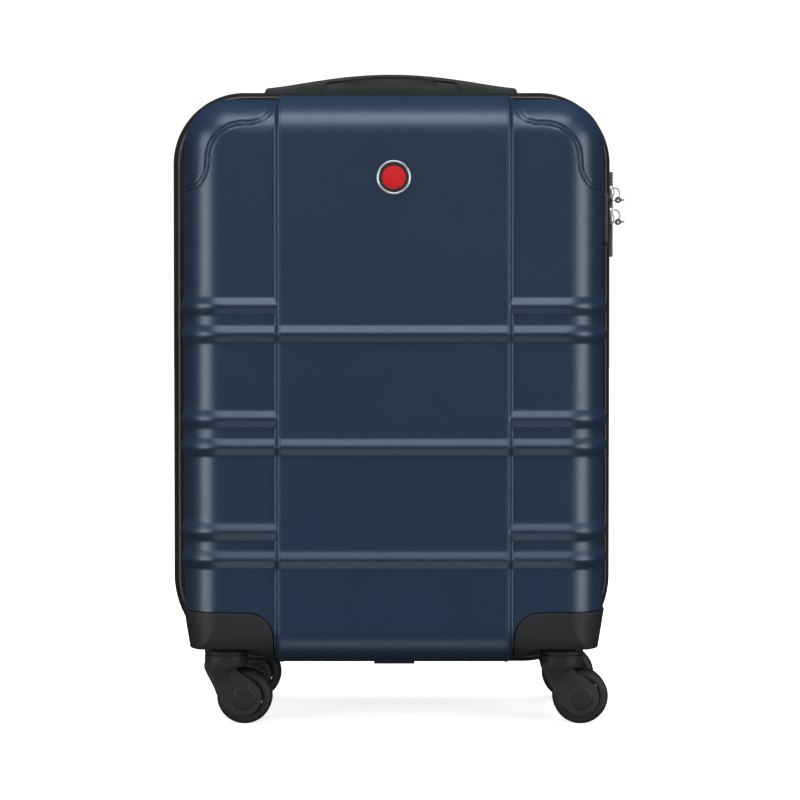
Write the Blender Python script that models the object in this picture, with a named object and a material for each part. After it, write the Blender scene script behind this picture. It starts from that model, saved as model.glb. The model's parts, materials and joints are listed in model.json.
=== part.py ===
"""Hard shell suitcase on four spinner wheels, cabin size.

Two moulded half shells meet at a zip that runs round the top, right side and bottom, and
fold about a fabric hinge on the left. The rear half carries the telescopic trolley handle
and the carry handle; the front half carries the combination lock and the badge. Each lower
corner holds a twin-leg spinner caster.

Metres. X runs right, Y runs back, Z runs up, and the floor is Z = 0.
"""

import math

import bmesh
import bpy
from mathutils import Matrix, Vector

# ---------------------------------------------------------------- driving dimensions
GAP = 0.0003                 # clearance between pieces that touch
CASE_X = -0.0054             # the zip pulls stand out on the right, so the case sits left

RIM_HALF_WIDTH = 0.1760      # shell at its rim, where the zip band is sewn on
RIM_BOTTOM, RIM_TOP = 0.0535, 0.5197
RIM_Y = 0.0120               # distance of each rim from the zip's plane
RIM_CORNER = 0.0425          # outline corner radius at the rim
FACE_Y = 0.0962              # flat face of each half
DRAFT = 0.0025               # how far the walls lean in from rim to face
EDGE_TOP, EDGE_BOTTOM = 0.034, 0.026   # radius of the edge round the face
WALL = 0.0024

PANEL_HALF_WIDTH = 0.0935    # raised centre panel of the front half
PANEL_SLOPE = 0.0035
PANEL_HEIGHT = 0.0034
RIDGE_HEIGHT = 0.0034
RIDGE_HALF_WIDTH = 0.0068
RIDGE_LOWEST = 0.1394        # crest of the lowest of the lower ridges
RIDGE_PITCH = 0.0918         # from one pair to the next
RIDGE_SPACING = 0.0227       # from the lower to the upper ridge of a pair
RIDGE_PAIRS = 3
TAPER = 0.006                # reliefs fade out over this depth next to the rim

BAND_OUT = 0.0110            # how far the zip band stands out from the rim, top and bottom
BAND_CORNERS = (0.0640, 0.0500)  # radius of the band's path round the low and the high corners
BAND_LEAN = 0.20             # share by which it stands out more on the hinge side, less on the other
BAND_THICK = 0.0024
BAND_Y = 0.0036              # outer end of the band, from the zip's plane
COIL_IN, COIL_OUT = 0.0060, 0.0087
COIL_Y = 0.0030
HINGE_X = -(RIM_HALF_WIDTH + BAND_OUT * (1 + BAND_LEAN) + 0.0002)

CASTER_X, CASTER_Y = 0.1395, 0.0620
TRAIL = 0.0154
WHEEL_RADIUS, WHEEL_HALF_WIDTH = 0.0230, 0.0095
CORE_RADIUS = 0.0150
NECK_RADIUS = 0.0180
NECK_BOTTOM, NECK_TOP = 0.0486, 0.0626
LEG_DISC_RADIUS = 0.0155
LEG_IN, LEG_OUT = 0.0103, 0.0138
AXLE_RADIUS, CAP_RADIUS, CAP_OUT = 0.0026, 0.0102, 0.0155
STEM_RADIUS, STEM_TOP = 0.0050, 0.0780

HOUSING_INNER_X, HOUSING_TOP, HOUSING_BOTTOM, HOUSING_LIP = 0.0986, 0.0956, 0.0650, 0.0556
HOUSING_CORNER = 0.0210
HOUSING_PROUD = 0.0012
HOUSING_SLOPE = 0.187          # inward slope of a housing's outer side, per unit of height

TUBE_X, TUBE_Y = 0.0600, 0.0620
TUBE_SIZE = (0.0220, 0.0140)
TUBE_WALL = 0.0012
TUBE_FITS = 2 * (TUBE_WALL + GAP)
BEZEL_Z = (0.5080, 0.5225)
BEZEL_HALF = (0.0775, 0.0130)
GRIP_Z = (0.5148, 0.5325)
GRIP_HALF = (0.0700, 0.0090)

HANDLE_Y = 0.0280
HANDLE_HALF_LENGTH, HANDLE_HALF_DEPTH = 0.1100, 0.0140
HANDLE_ENDS_TOP, HANDLE_RISE, HANDLE_UNDER = 0.5380, 0.0120, 0.5295
MOUNT_TOP = 0.5277
LUG_X, LUG_HALF, LUG_BOTTOM = 0.0980, (0.0065, 0.0075), 0.5080

LOCK_Y, LOCK_Z = -0.0260, 0.4210
LOCK_HALF = (0.0132, 0.0220)
LOCK_X = (0.1764, 0.1796)
DIAL_X, DIAL_RADIUS, DIAL_HALF, DIAL_PITCH, DIAL_TOP_Z = 0.1725, 0.0080, 0.0030, 0.0074, 0.4305
BUTTON_Z, BUTTON_HALF = 0.43775, (0.0065, 0.00275)
KEY_Z, KEY_RADIUS = 0.4063, 0.0038

SLIDER_Z = {"upper": 0.4463, "lower": 0.4275}
SLIDER_X = (0.1850, 0.1890)
PULL_DROP, PULL_X, PULL_REACH = 0.0068, 0.1925, 0.0080
BADGE_Z, BADGE_RADIUS = 0.4498, 0.0140


# ---------------------------------------------------------------- general helpers
def clear_scene():
    for thing in list(bpy.data.objects):
        bpy.data.objects.remove(thing, do_unlink=True)


def material(name, colour, roughness, metallic=0.0):
    made = bpy.data.materials.new(name)
    made.use_nodes = True
    shader = made.node_tree.nodes["Principled BSDF"]
    shader.inputs["Base Color"].default_value = (*colour, 1.0)
    shader.inputs["Roughness"].default_value = roughness
    shader.inputs["Metallic"].default_value = metallic
    return made


def add_object(name, mesh_data, look, parent, place=(0.0, 0.0, 0.0)):
    """Turns a bmesh into an object whose mesh is given round its own origin at place."""
    mesh = bpy.data.meshes.new(name)
    bmesh.ops.recalc_face_normals(mesh_data, faces=mesh_data.faces)
    mesh_data.to_mesh(mesh)
    mesh_data.free()
    mesh.materials.append(look)
    made = bpy.data.objects.new(name, mesh)
    made.location = place
    made.parent = parent
    bpy.context.scene.collection.objects.link(made)
    return made


def guide(thing):
    """Marks an object as a cutter, which is no piece of the suitcase."""
    thing.hide_render = True
    thing.display_type = "WIRE"
    return thing


def boolean(thing, tool, operation="DIFFERENCE"):
    cut = thing.modifiers.new(tool.name, "BOOLEAN")
    cut.operation = operation
    cut.solver = "EXACT"
    cut.object = tool


def round_shading(thing, degrees=35):
    thing.data.shade_smooth()
    thing.data.set_sharp_from_angle(angle=math.radians(degrees))


def box_mesh(low, high, bevel=0.0, steps=1):
    mesh = bmesh.new()
    middle = (Vector(low) + Vector(high)) / 2
    size = Vector(high) - Vector(low)
    place = Matrix.Translation(middle) @ Matrix.Diagonal((*size, 1.0))
    bmesh.ops.create_cube(mesh, size=1.0, matrix=place)
    if bevel:
        bmesh.ops.bevel(mesh, geom=mesh.edges[:], offset=bevel, segments=steps,
                        affect="EDGES", profile=0.5)
    return mesh


def cylinder_mesh(radius, low, high, axis="Z", steps=20, centre=(0.0, 0.0, 0.0)):
    """A closed cylinder along an axis, from low to high on it."""
    turn = {"X": Matrix.Rotation(math.pi / 2, 4, "Y"),
            "Y": Matrix.Rotation(-math.pi / 2, 4, "X"),
            "Z": Matrix.Identity(4)}[axis]
    along = Matrix.Translation((0.0, 0.0, (low + high) / 2))
    mesh = bmesh.new()
    bmesh.ops.create_cone(mesh, cap_ends=True, segments=steps, radius1=radius, radius2=radius,
                          depth=high - low, matrix=Matrix.Translation(centre) @ turn @ along)
    return mesh


def turned_mesh(profile, axis="Y", steps=20, ring=True):
    """Turns a profile of (radius, along) points into a ring, or into a solid with flat ends."""
    mesh = bmesh.new()
    loops = []
    for radius, along in profile:
        loop = []
        for step in range(steps):
            angle = math.tau * step / steps
            across, up = radius * math.cos(angle), radius * math.sin(angle)
            spot = (across, along, up) if axis == "Y" else (across, up, along)
            loop.append(mesh.verts.new(spot))
        loops.append(loop)
    if not ring:
        mesh.faces.new(loops[0])
        mesh.faces.new(loops[-1])
    for near, far in zip(loops, loops[1:] + loops[:1] if ring else loops[1:]):
        for step in range(steps):
            after = (step + 1) % steps
            mesh.faces.new((near[step], near[after], far[after], far[step]))
    return mesh


def prism_mesh(outline, low, high, axis="Y"):
    """Extrudes an outline of (across, up) points along Y, or of (x, y) points along Z."""
    mesh = bmesh.new()
    layers = []
    for along in (low, high):
        spots = [(a, along, b) if axis == "Y" else (a, b, along) for a, b in outline]
        layers.append([mesh.verts.new(spot) for spot in spots])
    mesh.faces.new(layers[0])
    mesh.faces.new(layers[1])
    count = len(outline)
    for step in range(count):
        after = (step + 1) % count
        mesh.faces.new((layers[0][step], layers[0][after], layers[1][after], layers[1][step]))
    return mesh


def arc(centre, radius, start, end, steps):
    """Points of an arc in degrees, both ends included."""
    points = []
    for step in range(steps + 1):
        angle = math.radians(start + (end - start) * step / steps)
        points.append((centre[0] + radius * math.cos(angle), centre[1] + radius * math.sin(angle)))
    return points


# ---------------------------------------------------------------- the case's outline
CORE_X = RIM_HALF_WIDTH - RIM_CORNER
CORE_LOW, CORE_HIGH = RIM_BOTTOM + RIM_CORNER, RIM_TOP - RIM_CORNER
ARC_STEPS = 6


def ridge_crests():
    """Crest heights of the lower and of the upper ridges."""
    low = [RIDGE_LOWEST + RIDGE_PITCH * pair for pair in range(RIDGE_PAIRS)]
    return low, [crest + RIDGE_SPACING for crest in low]


def core_rows(with_ridges):
    """Heights of the mesh rows on the straight sides."""
    rows = {CORE_LOW, CORE_HIGH}
    if with_ridges:
        for crest in sum(ridge_crests(), []):
            rows |= {crest - RIDGE_HALF_WIDTH, crest, crest + RIDGE_HALF_WIDTH}
    return sorted(rows)


def core_columns(with_panel):
    """X places of the mesh columns on the straight top and bottom."""
    columns = {-CORE_X, CORE_X}
    if with_panel:
        for edge in (PANEL_HALF_WIDTH, PANEL_HALF_WIDTH + PANEL_SLOPE):
            columns |= {-edge, edge}
    return sorted(columns)


def stations(rows, columns):
    """(anchor x, anchor z, normal x, normal z) all round, anticlockwise from lower right."""
    found = [(CORE_X, z, 1.0, 0.0) for z in rows]
    found += corner(CORE_X, CORE_HIGH, 0)
    found += [(x, CORE_HIGH, 0.0, 1.0) for x in reversed(columns)]
    found += corner(-CORE_X, CORE_HIGH, 90)
    found += [(-CORE_X, z, -1.0, 0.0) for z in reversed(rows)]
    found += corner(-CORE_X, CORE_LOW, 180)
    found += [(x, CORE_LOW, 0.0, -1.0) for x in columns]
    found += corner(CORE_X, CORE_LOW, 270)
    return found


def corner(x, z, start):
    points = []
    for step in range(1, ARC_STEPS):
        angle = math.radians(start + 90 * step / ARC_STEPS)
        points.append((x, z, math.cos(angle), math.sin(angle)))
    return points


def tent(distance, half_width):
    return max(0.0, 1.0 - abs(distance) / half_width)


def relief(x, z, panel):
    """How far the shell stands proud of its plain surface."""
    low, high = ridge_crests()
    lower = max(tent(z - crest, RIDGE_HALF_WIDTH) for crest in low)
    upper = max(tent(z - crest, RIDGE_HALF_WIDTH) for crest in high)
    raised = min(1.0, max(0.0, (PANEL_HALF_WIDTH + PANEL_SLOPE - abs(x)) / PANEL_SLOPE))
    base = max(panel * raised, RIDGE_HEIGHT * upper)
    return base + RIDGE_HEIGHT * lower


def wall_profile(normal_z):
    """(radius from the core, depth, lean of the normal, share of the relief)."""
    edge = EDGE_TOP + (EDGE_BOTTOM - EDGE_TOP) * max(0.0, -normal_z)
    top = RIM_CORNER - DRAFT
    points = [(RIM_CORNER, RIM_Y, 0.0, 0.0), (RIM_CORNER - 0.0003, RIM_Y + TAPER, 0.0, 1.0)]
    for step in range(5):
        lean = math.pi / 2 * step / 4
        depth = FACE_Y - edge + edge * math.sin(lean)
        points.append((top - edge * (1 - math.cos(lean)), depth, lean, 1.0))
    return points


def shell_mesh(side, panel, proud=0.0, detailed=True, closed=False):
    """The outer surface of one half; side is -1 for the front and 1 for the rear."""
    rows, columns = core_rows(detailed), core_columns(detailed)
    mesh = bmesh.new()
    grid = {}
    for x in columns:
        for z in rows:
            height = relief(x, z, panel) if detailed else 0.0
            grid[x, z] = mesh.verts.new((x, side * (FACE_Y + height + proud), z))
    loops = []
    ring = stations(rows, columns)
    for x, z, normal_x, normal_z in ring:
        column = []
        for radius, depth, lean, share in wall_profile(normal_z):
            out = radius + proud
            spot_x, spot_z = x + out * normal_x, z + out * normal_z
            height = relief(spot_x, z, panel) * share if detailed else 0.0
            level = math.cos(lean) * height
            deep = depth + math.sin(lean) * (height + proud)
            spot = (spot_x + level * normal_x, side * deep, spot_z + level * normal_z)
            column.append(mesh.verts.new(spot))
        loops.append(column)
    for here, there, now, then in zip(loops, loops[1:] + loops[:1], ring, ring[1:] + ring[:1]):
        for step in range(len(here) - 1):
            mesh.faces.new((here[step], there[step], there[step + 1], here[step + 1]))
        inner = [grid[then[:2]], grid[now[:2]]]
        if inner[0] is inner[1]:
            inner.pop()
        mesh.faces.new((here[-1], there[-1], *inner))
    for left, right in zip(columns, columns[1:]):
        for low, high in zip(rows, rows[1:]):
            mesh.faces.new((grid[left, low], grid[right, low], grid[right, high], grid[left, high]))
    if closed:
        mesh.faces.new([column[0] for column in loops])
    return mesh


def band_path(ring):
    """The stations with wider corners, for the band and the zip."""
    path = []
    for x, z, normal_x, normal_z in ring:
        high = z > (CORE_LOW + CORE_HIGH) / 2
        anchor = CORE_HIGH if high else CORE_LOW
        wider = BAND_CORNERS[high] - RIM_CORNER
        across, down = CORE_X - abs(x), abs(anchor - z)
        if across == 0 and down == 0:
            x = math.copysign(CORE_X - wider, x) + wider * normal_x
            z = anchor + wider * (normal_z + (-1 if high else 1))
            path.append((x, z, normal_x, normal_z))
        elif max(across, down) >= wider:
            path.append((x, z, normal_x, normal_z))
    return path


def sweep_mesh(section, ring, closed=True):
    """Sweeps a closed section of (distance out from the rim, y) points along the stations."""
    mesh = bmesh.new()
    loops = []
    for x, z, normal_x, normal_z in ring:
        loop = []
        for out, y in section:
            radius = RIM_CORNER + out * (1 - BAND_LEAN * normal_x)
            loop.append(mesh.verts.new((x + radius * normal_x, y, z + radius * normal_z)))
        loops.append(loop)
    pairs = list(zip(loops, loops[1:] + loops[:1])) if closed else list(zip(loops, loops[1:]))
    count = len(section)
    for here, there in pairs:
        for step in range(count):
            after = (step + 1) % count
            mesh.faces.new((here[step], here[after], there[after], there[step]))
    if not closed:
        mesh.faces.new(loops[0])
        mesh.faces.new(loops[-1])
    return mesh


# ---------------------------------------------------------------- shells and zip
def housing_outline(side_x, clearance=0.0):
    """Outline, seen from the front, of the corner that a caster housing fills."""
    inner = HOUSING_INNER_X - clearance
    top = HOUSING_TOP + clearance
    radius = HOUSING_CORNER + clearance
    arc_centre = (inner + radius, top - radius)
    points = arc(arc_centre, radius, 90, 180, 4)
    if clearance:
        points += [(inner, 0.02), (0.24, 0.02)]
    else:
        points += [(inner, HOUSING_LIP), (inner + 0.004, HOUSING_LIP)]
        points += arc((inner + 0.019, HOUSING_LIP - 0.004), 0.015, 150, 90, 3)
        points += [(0.24, HOUSING_BOTTOM)]
    points.append((0.24, top))
    return [(side_x * x, z) for x, z in points]


def make_shell(name, side, panel, look, case):
    """A half shell with its walls."""
    shell = add_object(name, shell_mesh(side, panel), look, case)
    walls = shell.modifiers.new("walls", "SOLIDIFY")
    walls.thickness = WALL
    walls.offset = -1.0
    walls.use_even_offset = True
    round_shading(shell)
    return shell


def notch_shell(shell, side, look, case):
    """Cuts both lower corners away for the caster housings."""
    reach = sorted((side * (RIM_Y - 0.004), side * (FACE_Y + 0.010)))
    for side_x, word in ((-1, "left"), (1, "right")):
        outline = housing_outline(side_x, GAP)
        notch = add_object(f"{shell.name}_notch_{word}", prism_mesh(outline, *reach), look, case)
        boolean(shell, guide(notch))


def square_corners(mesh):
    """Moves a block's round lower corners out to straight sides that slope inwards."""
    for vertex in mesh.verts:
        across, down = abs(vertex.co.x) - CORE_X, CORE_LOW - vertex.co.z
        if across > -1e-6 and down > 0:
            reach = math.hypot(across, down) - HOUSING_SLOPE * down
            vertex.co.x = math.copysign(CORE_X + reach, vertex.co.x)
    return mesh


def make_housing(name, side, side_x, look, case):
    """A caster housing: the shell's own corner in thick plastic, hollow from above."""
    reach = sorted((side * (RIM_Y + GAP), side * (FACE_Y + 0.01)))
    outline = housing_outline(side_x)
    housing = add_object(name, prism_mesh(outline, *reach), look, case)
    block = square_corners(shell_mesh(side, 0.0, HOUSING_PROUD, False, True))
    block = add_object(f"{name}_outside", block, look, case)
    boolean(housing, guide(block), "INTERSECT")
    hollow_x = sorted((side_x * 0.1235, side_x * 0.1560))
    hollow_y = sorted((side * 0.0200, side * 0.0820))
    pocket = box_mesh((hollow_x[0], hollow_y[0], HOUSING_BOTTOM + 0.003),
                      (hollow_x[1], hollow_y[1], HOUSING_TOP + 0.01))
    boolean(housing, guide(add_object(f"{name}_pocket", pocket, look, case)))
    spot = (side_x * CASTER_X, side * CASTER_Y, 0.0)
    bore = cylinder_mesh(STEM_RADIUS + GAP, 0.05, 0.09, steps=12, centre=spot)
    boolean(housing, guide(add_object(f"{name}_bore", bore, look, case)))
    round_shading(housing)
    return housing


def make_bands(looks, case):
    """The fabric bands sewn on the rims, and the zip between them."""
    ring = band_path(stations(sorted(core_rows(False) + [0.20, 0.38]), core_columns(False)))
    hinge_side = [number for number, station in enumerate(ring) if station[2] == -1.0]
    zip_run = ring[hinge_side[-1]:] + ring[:hinge_side[0] + 1]
    for name, side in (("front", -1), ("rear", 1)):
        band = [(-WALL, RIM_Y - GAP), (0.0, RIM_Y - GAP), (BAND_OUT, BAND_Y + 0.0012),
                (BAND_OUT, BAND_Y), (BAND_OUT - BAND_THICK, BAND_Y), (-WALL, RIM_Y - 0.0030)]
        band = [(out, side * y) for out, y in band]
        add_object(f"{name}_band", sweep_mesh(band, ring), looks["fabric"], case)
        coil = [(COIL_IN, 0.00015), (COIL_OUT, 0.00015), (COIL_OUT, COIL_Y), (COIL_IN, COIL_Y)]
        coil = [(out, side * y) for out, y in coil]
        add_object(f"{name}_zip", sweep_mesh(coil, zip_run, closed=False), looks["zip"], case)
    low, high = CORE_LOW + BAND_CORNERS[0] - RIM_CORNER, CORE_HIGH - BAND_CORNERS[1] + RIM_CORNER
    tape = box_mesh((HINGE_X + 0.0003, -0.0027, low + 0.004), (HINGE_X + 0.0015, 0.0027, high - 0.004))
    add_object("hinge_tape", tape, looks["fabric"], case)


def make_slider_stay(look, case):
    """Ribbed strip behind the zip, next to the lock."""
    out = RIM_HALF_WIDTH + BAND_OUT * (1 - BAND_LEAN) + GAP
    outline = [(out, 0.0042), (out + 0.0040, 0.0042), (out + 0.0040, 0.0085),
               (out - 0.0060, 0.0126), (out - 0.0060, 0.0109), (out, 0.0054)]
    add_object("slider_stay", prism_mesh(outline, 0.391, 0.464, "Z"), look, case)


# ---------------------------------------------------------------- zip sliders and lock
def make_sliders(look, case):
    for word, height in SLIDER_Z.items():
        body = box_mesh((SLIDER_X[0], -0.0031, -0.0056), (SLIDER_X[1], 0.0031, 0.0056), 0.0008)
        slider = add_object(f"zip_slider_{word}", body, look, case, (0.0, 0.0, height))
        bridge = box_mesh((SLIDER_X[1] - 0.0005, -0.0009, -0.0070),
                          (SLIDER_X[1] + 0.0018, 0.0009, 0.0040))
        lug = cylinder_mesh(0.0018, -0.0009, 0.0009, "Y", 10, (PULL_X, 0.0, -PULL_DROP))
        link = box_mesh((SLIDER_X[1], -0.0009, -0.0084), (PULL_X, 0.0009, -0.0056))
        for part, mesh in (("bridge", bridge), ("lug", lug), ("link", link)):
            tool = add_object(f"slider_{word}_{part}", mesh, look, case, (0.0, 0.0, height))
            boolean(slider, guide(tool), "UNION")
        spot = (PULL_X, 0.0, height - PULL_DROP)
        make_pull(word, look, case, spot)


def make_pull(word, look, case, spot):
    """A pull tab: a round eye with two cheeks on the slider's lug, and a tapered tab."""
    eye = cylinder_mesh(0.0026, -0.0026, 0.0026, "Y", 12)
    pull = add_object(f"zip_pull_{word}", eye, look, case, spot)
    tab = prism_mesh([(0.0012, -0.0014), (PULL_REACH, -0.0008), (PULL_REACH, 0.0008),
                      (0.0012, 0.0014)], -0.0024, 0.0024)
    fork = box_mesh((-0.0040, -0.0012, -0.0040), (0.0030, 0.0012, 0.0040))
    boolean(pull, guide(add_object(f"pull_{word}_tab", tab, look, case, spot)), "UNION")
    boolean(pull, guide(add_object(f"pull_{word}_fork", fork, look, case, spot)))


def make_lock(looks, case, shell):
    """Combination lock let into the right wall of the front half."""
    half_y, half_z = LOCK_HALF
    window = box_mesh((0.160, LOCK_Y - 0.0110, LOCK_Z - 0.0212),
                      (0.182, LOCK_Y + 0.0108, LOCK_Z + 0.0214))
    boolean(shell, guide(add_object("lock_window", window, looks["lock"], case)))
    plate = box_mesh((LOCK_X[0], LOCK_Y - half_y, LOCK_Z - half_z),
                     (LOCK_X[1], LOCK_Y + half_y, LOCK_Z + half_z), 0.0008)
    lock = add_object("lock_body", plate, looks["lock"], case)
    block = box_mesh((0.1620, LOCK_Y - 0.0107, LOCK_Z - 0.0209),
                     (LOCK_X[0] + 0.0010, LOCK_Y + 0.0105, LOCK_Z + 0.0211))
    boolean(lock, guide(add_object("lock_block", block, looks["lock"], case)), "UNION")
    for number in range(3):
        height = DIAL_TOP_Z - DIAL_PITCH * number
        slot = box_mesh((0.1640, LOCK_Y - 0.0085, height - DIAL_HALF - GAP),
                        (0.1850, LOCK_Y + 0.0085, height + DIAL_HALF + GAP))
        boolean(lock, guide(add_object(f"dial_slot_{number + 1}", slot, looks["lock"], case)))
        wheel = cylinder_mesh(DIAL_RADIUS, -DIAL_HALF, DIAL_HALF, "Z", 20)
        dial = add_object(f"lock_dial_{number + 1}", wheel, looks["dial"], case,
                          (DIAL_X, LOCK_Y, height))
        round_shading(dial)
    half_y, half_z = BUTTON_HALF
    hole = box_mesh((0.1660, LOCK_Y - half_y - GAP, BUTTON_Z - half_z - GAP),
                    (0.1850, LOCK_Y + half_y + GAP, BUTTON_Z + half_z + GAP))
    boolean(lock, guide(add_object("button_hole", hole, looks["lock"], case)))
    knob = box_mesh((-0.0060, -half_y, -half_z), (0.0022, half_y, half_z), 0.0005)
    add_object("lock_button", knob, looks["dial"], case, (0.1785, LOCK_Y, BUTTON_Z))
    bore = cylinder_mesh(KEY_RADIUS + GAP, 0.1660, 0.1850, "X", 16, (0.0, LOCK_Y, KEY_Z))
    boolean(lock, guide(add_object("key_bore", bore, looks["lock"], case)))
    barrel = cylinder_mesh(KEY_RADIUS, -0.0120, 0.0004, "X", 16)
    key = add_object("key_cylinder", barrel, looks["metal"], case, (LOCK_X[1], LOCK_Y, KEY_Z))
    slit = box_mesh((-0.0040, -0.0005, -0.0022), (0.0010, 0.0005, 0.0022))
    tool = add_object("key_slit", slit, looks["metal"], case, (LOCK_X[1], LOCK_Y, KEY_Z))
    boolean(key, guide(tool))


# ---------------------------------------------------------------- carry handle
def handle_top(x):
    share = max(0.0, 1.0 - (x / HANDLE_HALF_LENGTH) ** 2)
    return HANDLE_ENDS_TOP + HANDLE_RISE * share ** 1.5


def make_carry_handle(looks, case, shell):
    """Arched grip on two lugs that slide through the mounts into the case."""
    places = [HANDLE_HALF_LENGTH * step / 8 for step in range(-8, 9)]
    upper = [(x, handle_top(x)) for x in places]
    foot = MOUNT_TOP + GAP
    lower = [(-HANDLE_HALF_LENGTH, foot), (-0.086, foot), (-0.078, HANDLE_UNDER), (0.078, HANDLE_UNDER),
             (0.086, foot), (HANDLE_HALF_LENGTH, foot)]
    outline = upper + lower[::-1]
    bar = prism_mesh(outline, -HANDLE_HALF_DEPTH, HANDLE_HALF_DEPTH)
    grip = add_object("carry_grip", bar, looks["rubber"], case, (0.0, HANDLE_Y, 0.0))
    for side_x, word in ((-1, "left"), (1, "right")):
        centre = side_x * LUG_X
        lug = box_mesh((centre - LUG_HALF[0], -LUG_HALF[1], LUG_BOTTOM),
                       (centre + LUG_HALF[0], LUG_HALF[1], foot + 0.002))
        tool = add_object(f"grip_lug_{word}", lug, looks["rubber"], case, (0.0, HANDLE_Y, 0.0))
        boolean(grip, guide(tool), "UNION")
        base = box_mesh((centre - 0.0150, HANDLE_Y - 0.0130, RIM_TOP + GAP),
                        (centre + 0.0150, HANDLE_Y + 0.0130, MOUNT_TOP), 0.0010)
        mount = add_object(f"handle_mount_{word}", base, looks["plastic"], case)
        hole = box_mesh((centre - LUG_HALF[0] - GAP, HANDLE_Y - LUG_HALF[1] - GAP, 0.500),
                        (centre + LUG_HALF[0] + GAP, HANDLE_Y + LUG_HALF[1] + GAP, 0.540))
        hole = guide(add_object(f"lug_hole_{word}", hole, looks["plastic"], case))
        boolean(mount, hole)
        boolean(shell, hole)


# ---------------------------------------------------------------- trolley handle
def tube_mesh(size, low, high):
    """A rectangular tube with open ends."""
    mesh = bmesh.new()
    loops = []
    for shrink, height in ((0.0, low), (0.0, high), (TUBE_WALL, high), (TUBE_WALL, low)):
        half_x, half_y = size[0] / 2 - shrink, size[1] / 2 - shrink
        spots = ((half_x, half_y), (-half_x, half_y), (-half_x, -half_y), (half_x, -half_y))
        loops.append([mesh.verts.new((x, y, height)) for x, y in spots])
    for near, far in zip(loops, loops[1:] + loops[:1]):
        for step in range(4):
            after = (step + 1) % 4
            mesh.faces.new((near[step], near[after], far[after], far[step]))
    return mesh


def make_trolley(looks, case, shell):
    """Two-stage telescopic handle in the rear half."""
    half_x, half_y = BEZEL_HALF
    low, high = BEZEL_Z
    place = (0.0, TUBE_Y, 0.0)
    mouth = box_mesh((-half_x - GAP, -half_y - GAP, 0.495), (half_x + GAP, half_y + GAP, 0.530))
    boolean(shell, guide(add_object("trolley_mouth", mouth, looks["plastic"], case, place)))
    frame = box_mesh((-half_x, -half_y, low), (half_x, half_y, high), 0.0015)
    bezel = add_object("trolley_bezel", frame, looks["plastic"], case, place)
    well = box_mesh((-GRIP_HALF[0] - 0.0005, -GRIP_HALF[1] - 0.0005, GRIP_Z[0] - 0.0013),
                    (GRIP_HALF[0] + 0.0005, GRIP_HALF[1] + 0.0005, 0.530))
    boolean(bezel, guide(add_object("bezel_well", well, looks["plastic"], case, place)))
    middle = (TUBE_SIZE[0] - TUBE_FITS, TUBE_SIZE[1] - TUBE_FITS)
    inner = (middle[0] - TUBE_FITS, middle[1] - TUBE_FITS)
    for side_x, word in ((-1, "left"), (1, "right")):
        spot = (side_x * TUBE_X, TUBE_Y, 0.0)
        passage = box_mesh((-middle[0] / 2 - GAP, -middle[1] / 2 - GAP, 0.500),
                           (middle[0] / 2 + GAP, middle[1] / 2 + GAP, 0.520))
        boolean(bezel, guide(add_object(f"bezel_hole_{word}", passage, looks["plastic"], case, spot)))
        outer_tube = tube_mesh(TUBE_SIZE, 0.0720, low - GAP)
        add_object(f"trolley_outer_tube_{word}", outer_tube, looks["metal"], case, spot)
        middle_tube = tube_mesh(middle, 0.0840, low + 0.0025)
        add_object(f"trolley_middle_tube_{word}", middle_tube, looks["metal"], case, spot)
        inner_tube = tube_mesh(inner, 0.0960, GRIP_Z[0] - GAP)
        add_object(f"trolley_inner_tube_{word}", inner_tube, looks["metal"], case, spot)
    foot = box_mesh((-TUBE_X - 0.0160, -0.0100, 0.0630), (TUBE_X + 0.0160, 0.0100, 0.0717))
    add_object("trolley_foot", foot, looks["plastic"], case, place)
    bar = box_mesh((-GRIP_HALF[0], -GRIP_HALF[1], GRIP_Z[0]), (GRIP_HALF[0], GRIP_HALF[1], GRIP_Z[1]), 0.0030, 2)
    grip = add_object("trolley_grip", bar, looks["plastic"], case, place)
    pocket = box_mesh((-0.0143, -0.0053, GRIP_Z[1] - 0.0080), (0.0143, 0.0053, GRIP_Z[1] + 0.0100))
    boolean(grip, guide(add_object("button_pocket", pocket, looks["plastic"], case, place)))
    cap = box_mesh((-0.0140, -0.0050, -0.0045), (0.0140, 0.0050, 0.0025), 0.0006)
    add_object("trolley_button", cap, looks["rubber"], case, (0.0, TUBE_Y, GRIP_Z[1]))


# ---------------------------------------------------------------- inside
def make_inside(looks, case):
    """Lining panels, and the packing strap with its buckle."""
    add_object("rear_lining", box_mesh((-0.150, 0.0490, 0.100), (0.150, 0.0505, 0.490)),
               looks["lining"], case)
    add_object("front_lining", box_mesh((-0.120, -0.0915, 0.100), (0.120, -0.0905, 0.470)),
               looks["lining"], case)
    for side_x, word in ((-1, "left"), (1, "right")):
        ends = sorted((side_x * 0.0243, side_x * 0.1500))
        strap = box_mesh((ends[0], 0.0470, 0.2750), (ends[1], 0.0484, 0.3050))
        add_object(f"packing_strap_{word}", strap, looks["fabric"], case)
    buckle = box_mesh((-0.0240, 0.0430, 0.2700), (0.0240, 0.0486, 0.3100), 0.0015)
    add_object("strap_buckle", buckle, looks["plastic"], case)


# ---------------------------------------------------------------- casters
def fork_mesh():
    """Neck and stem of a fork, round the swivel axis."""
    profile = [(NECK_RADIUS - 0.0030, NECK_BOTTOM), (NECK_RADIUS, NECK_BOTTOM + 0.0020),
               (NECK_RADIUS, NECK_TOP - 0.0015), (NECK_RADIUS - 0.0015, NECK_TOP),
               (STEM_RADIUS, NECK_TOP), (STEM_RADIUS, STEM_TOP)]
    return turned_mesh(profile, "Z", 20, ring=False)


def leg_outline():
    """Side outline of a fork leg: from under the neck to the disc round the axle."""
    disc = arc((TRAIL, WHEEL_RADIUS), LEG_DISC_RADIUS, -150, 30, 9)
    return disc + [(NECK_RADIUS - 0.0012, NECK_BOTTOM + 0.0040), (0.0030 - NECK_RADIUS, NECK_BOTTOM + 0.0040)]


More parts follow.
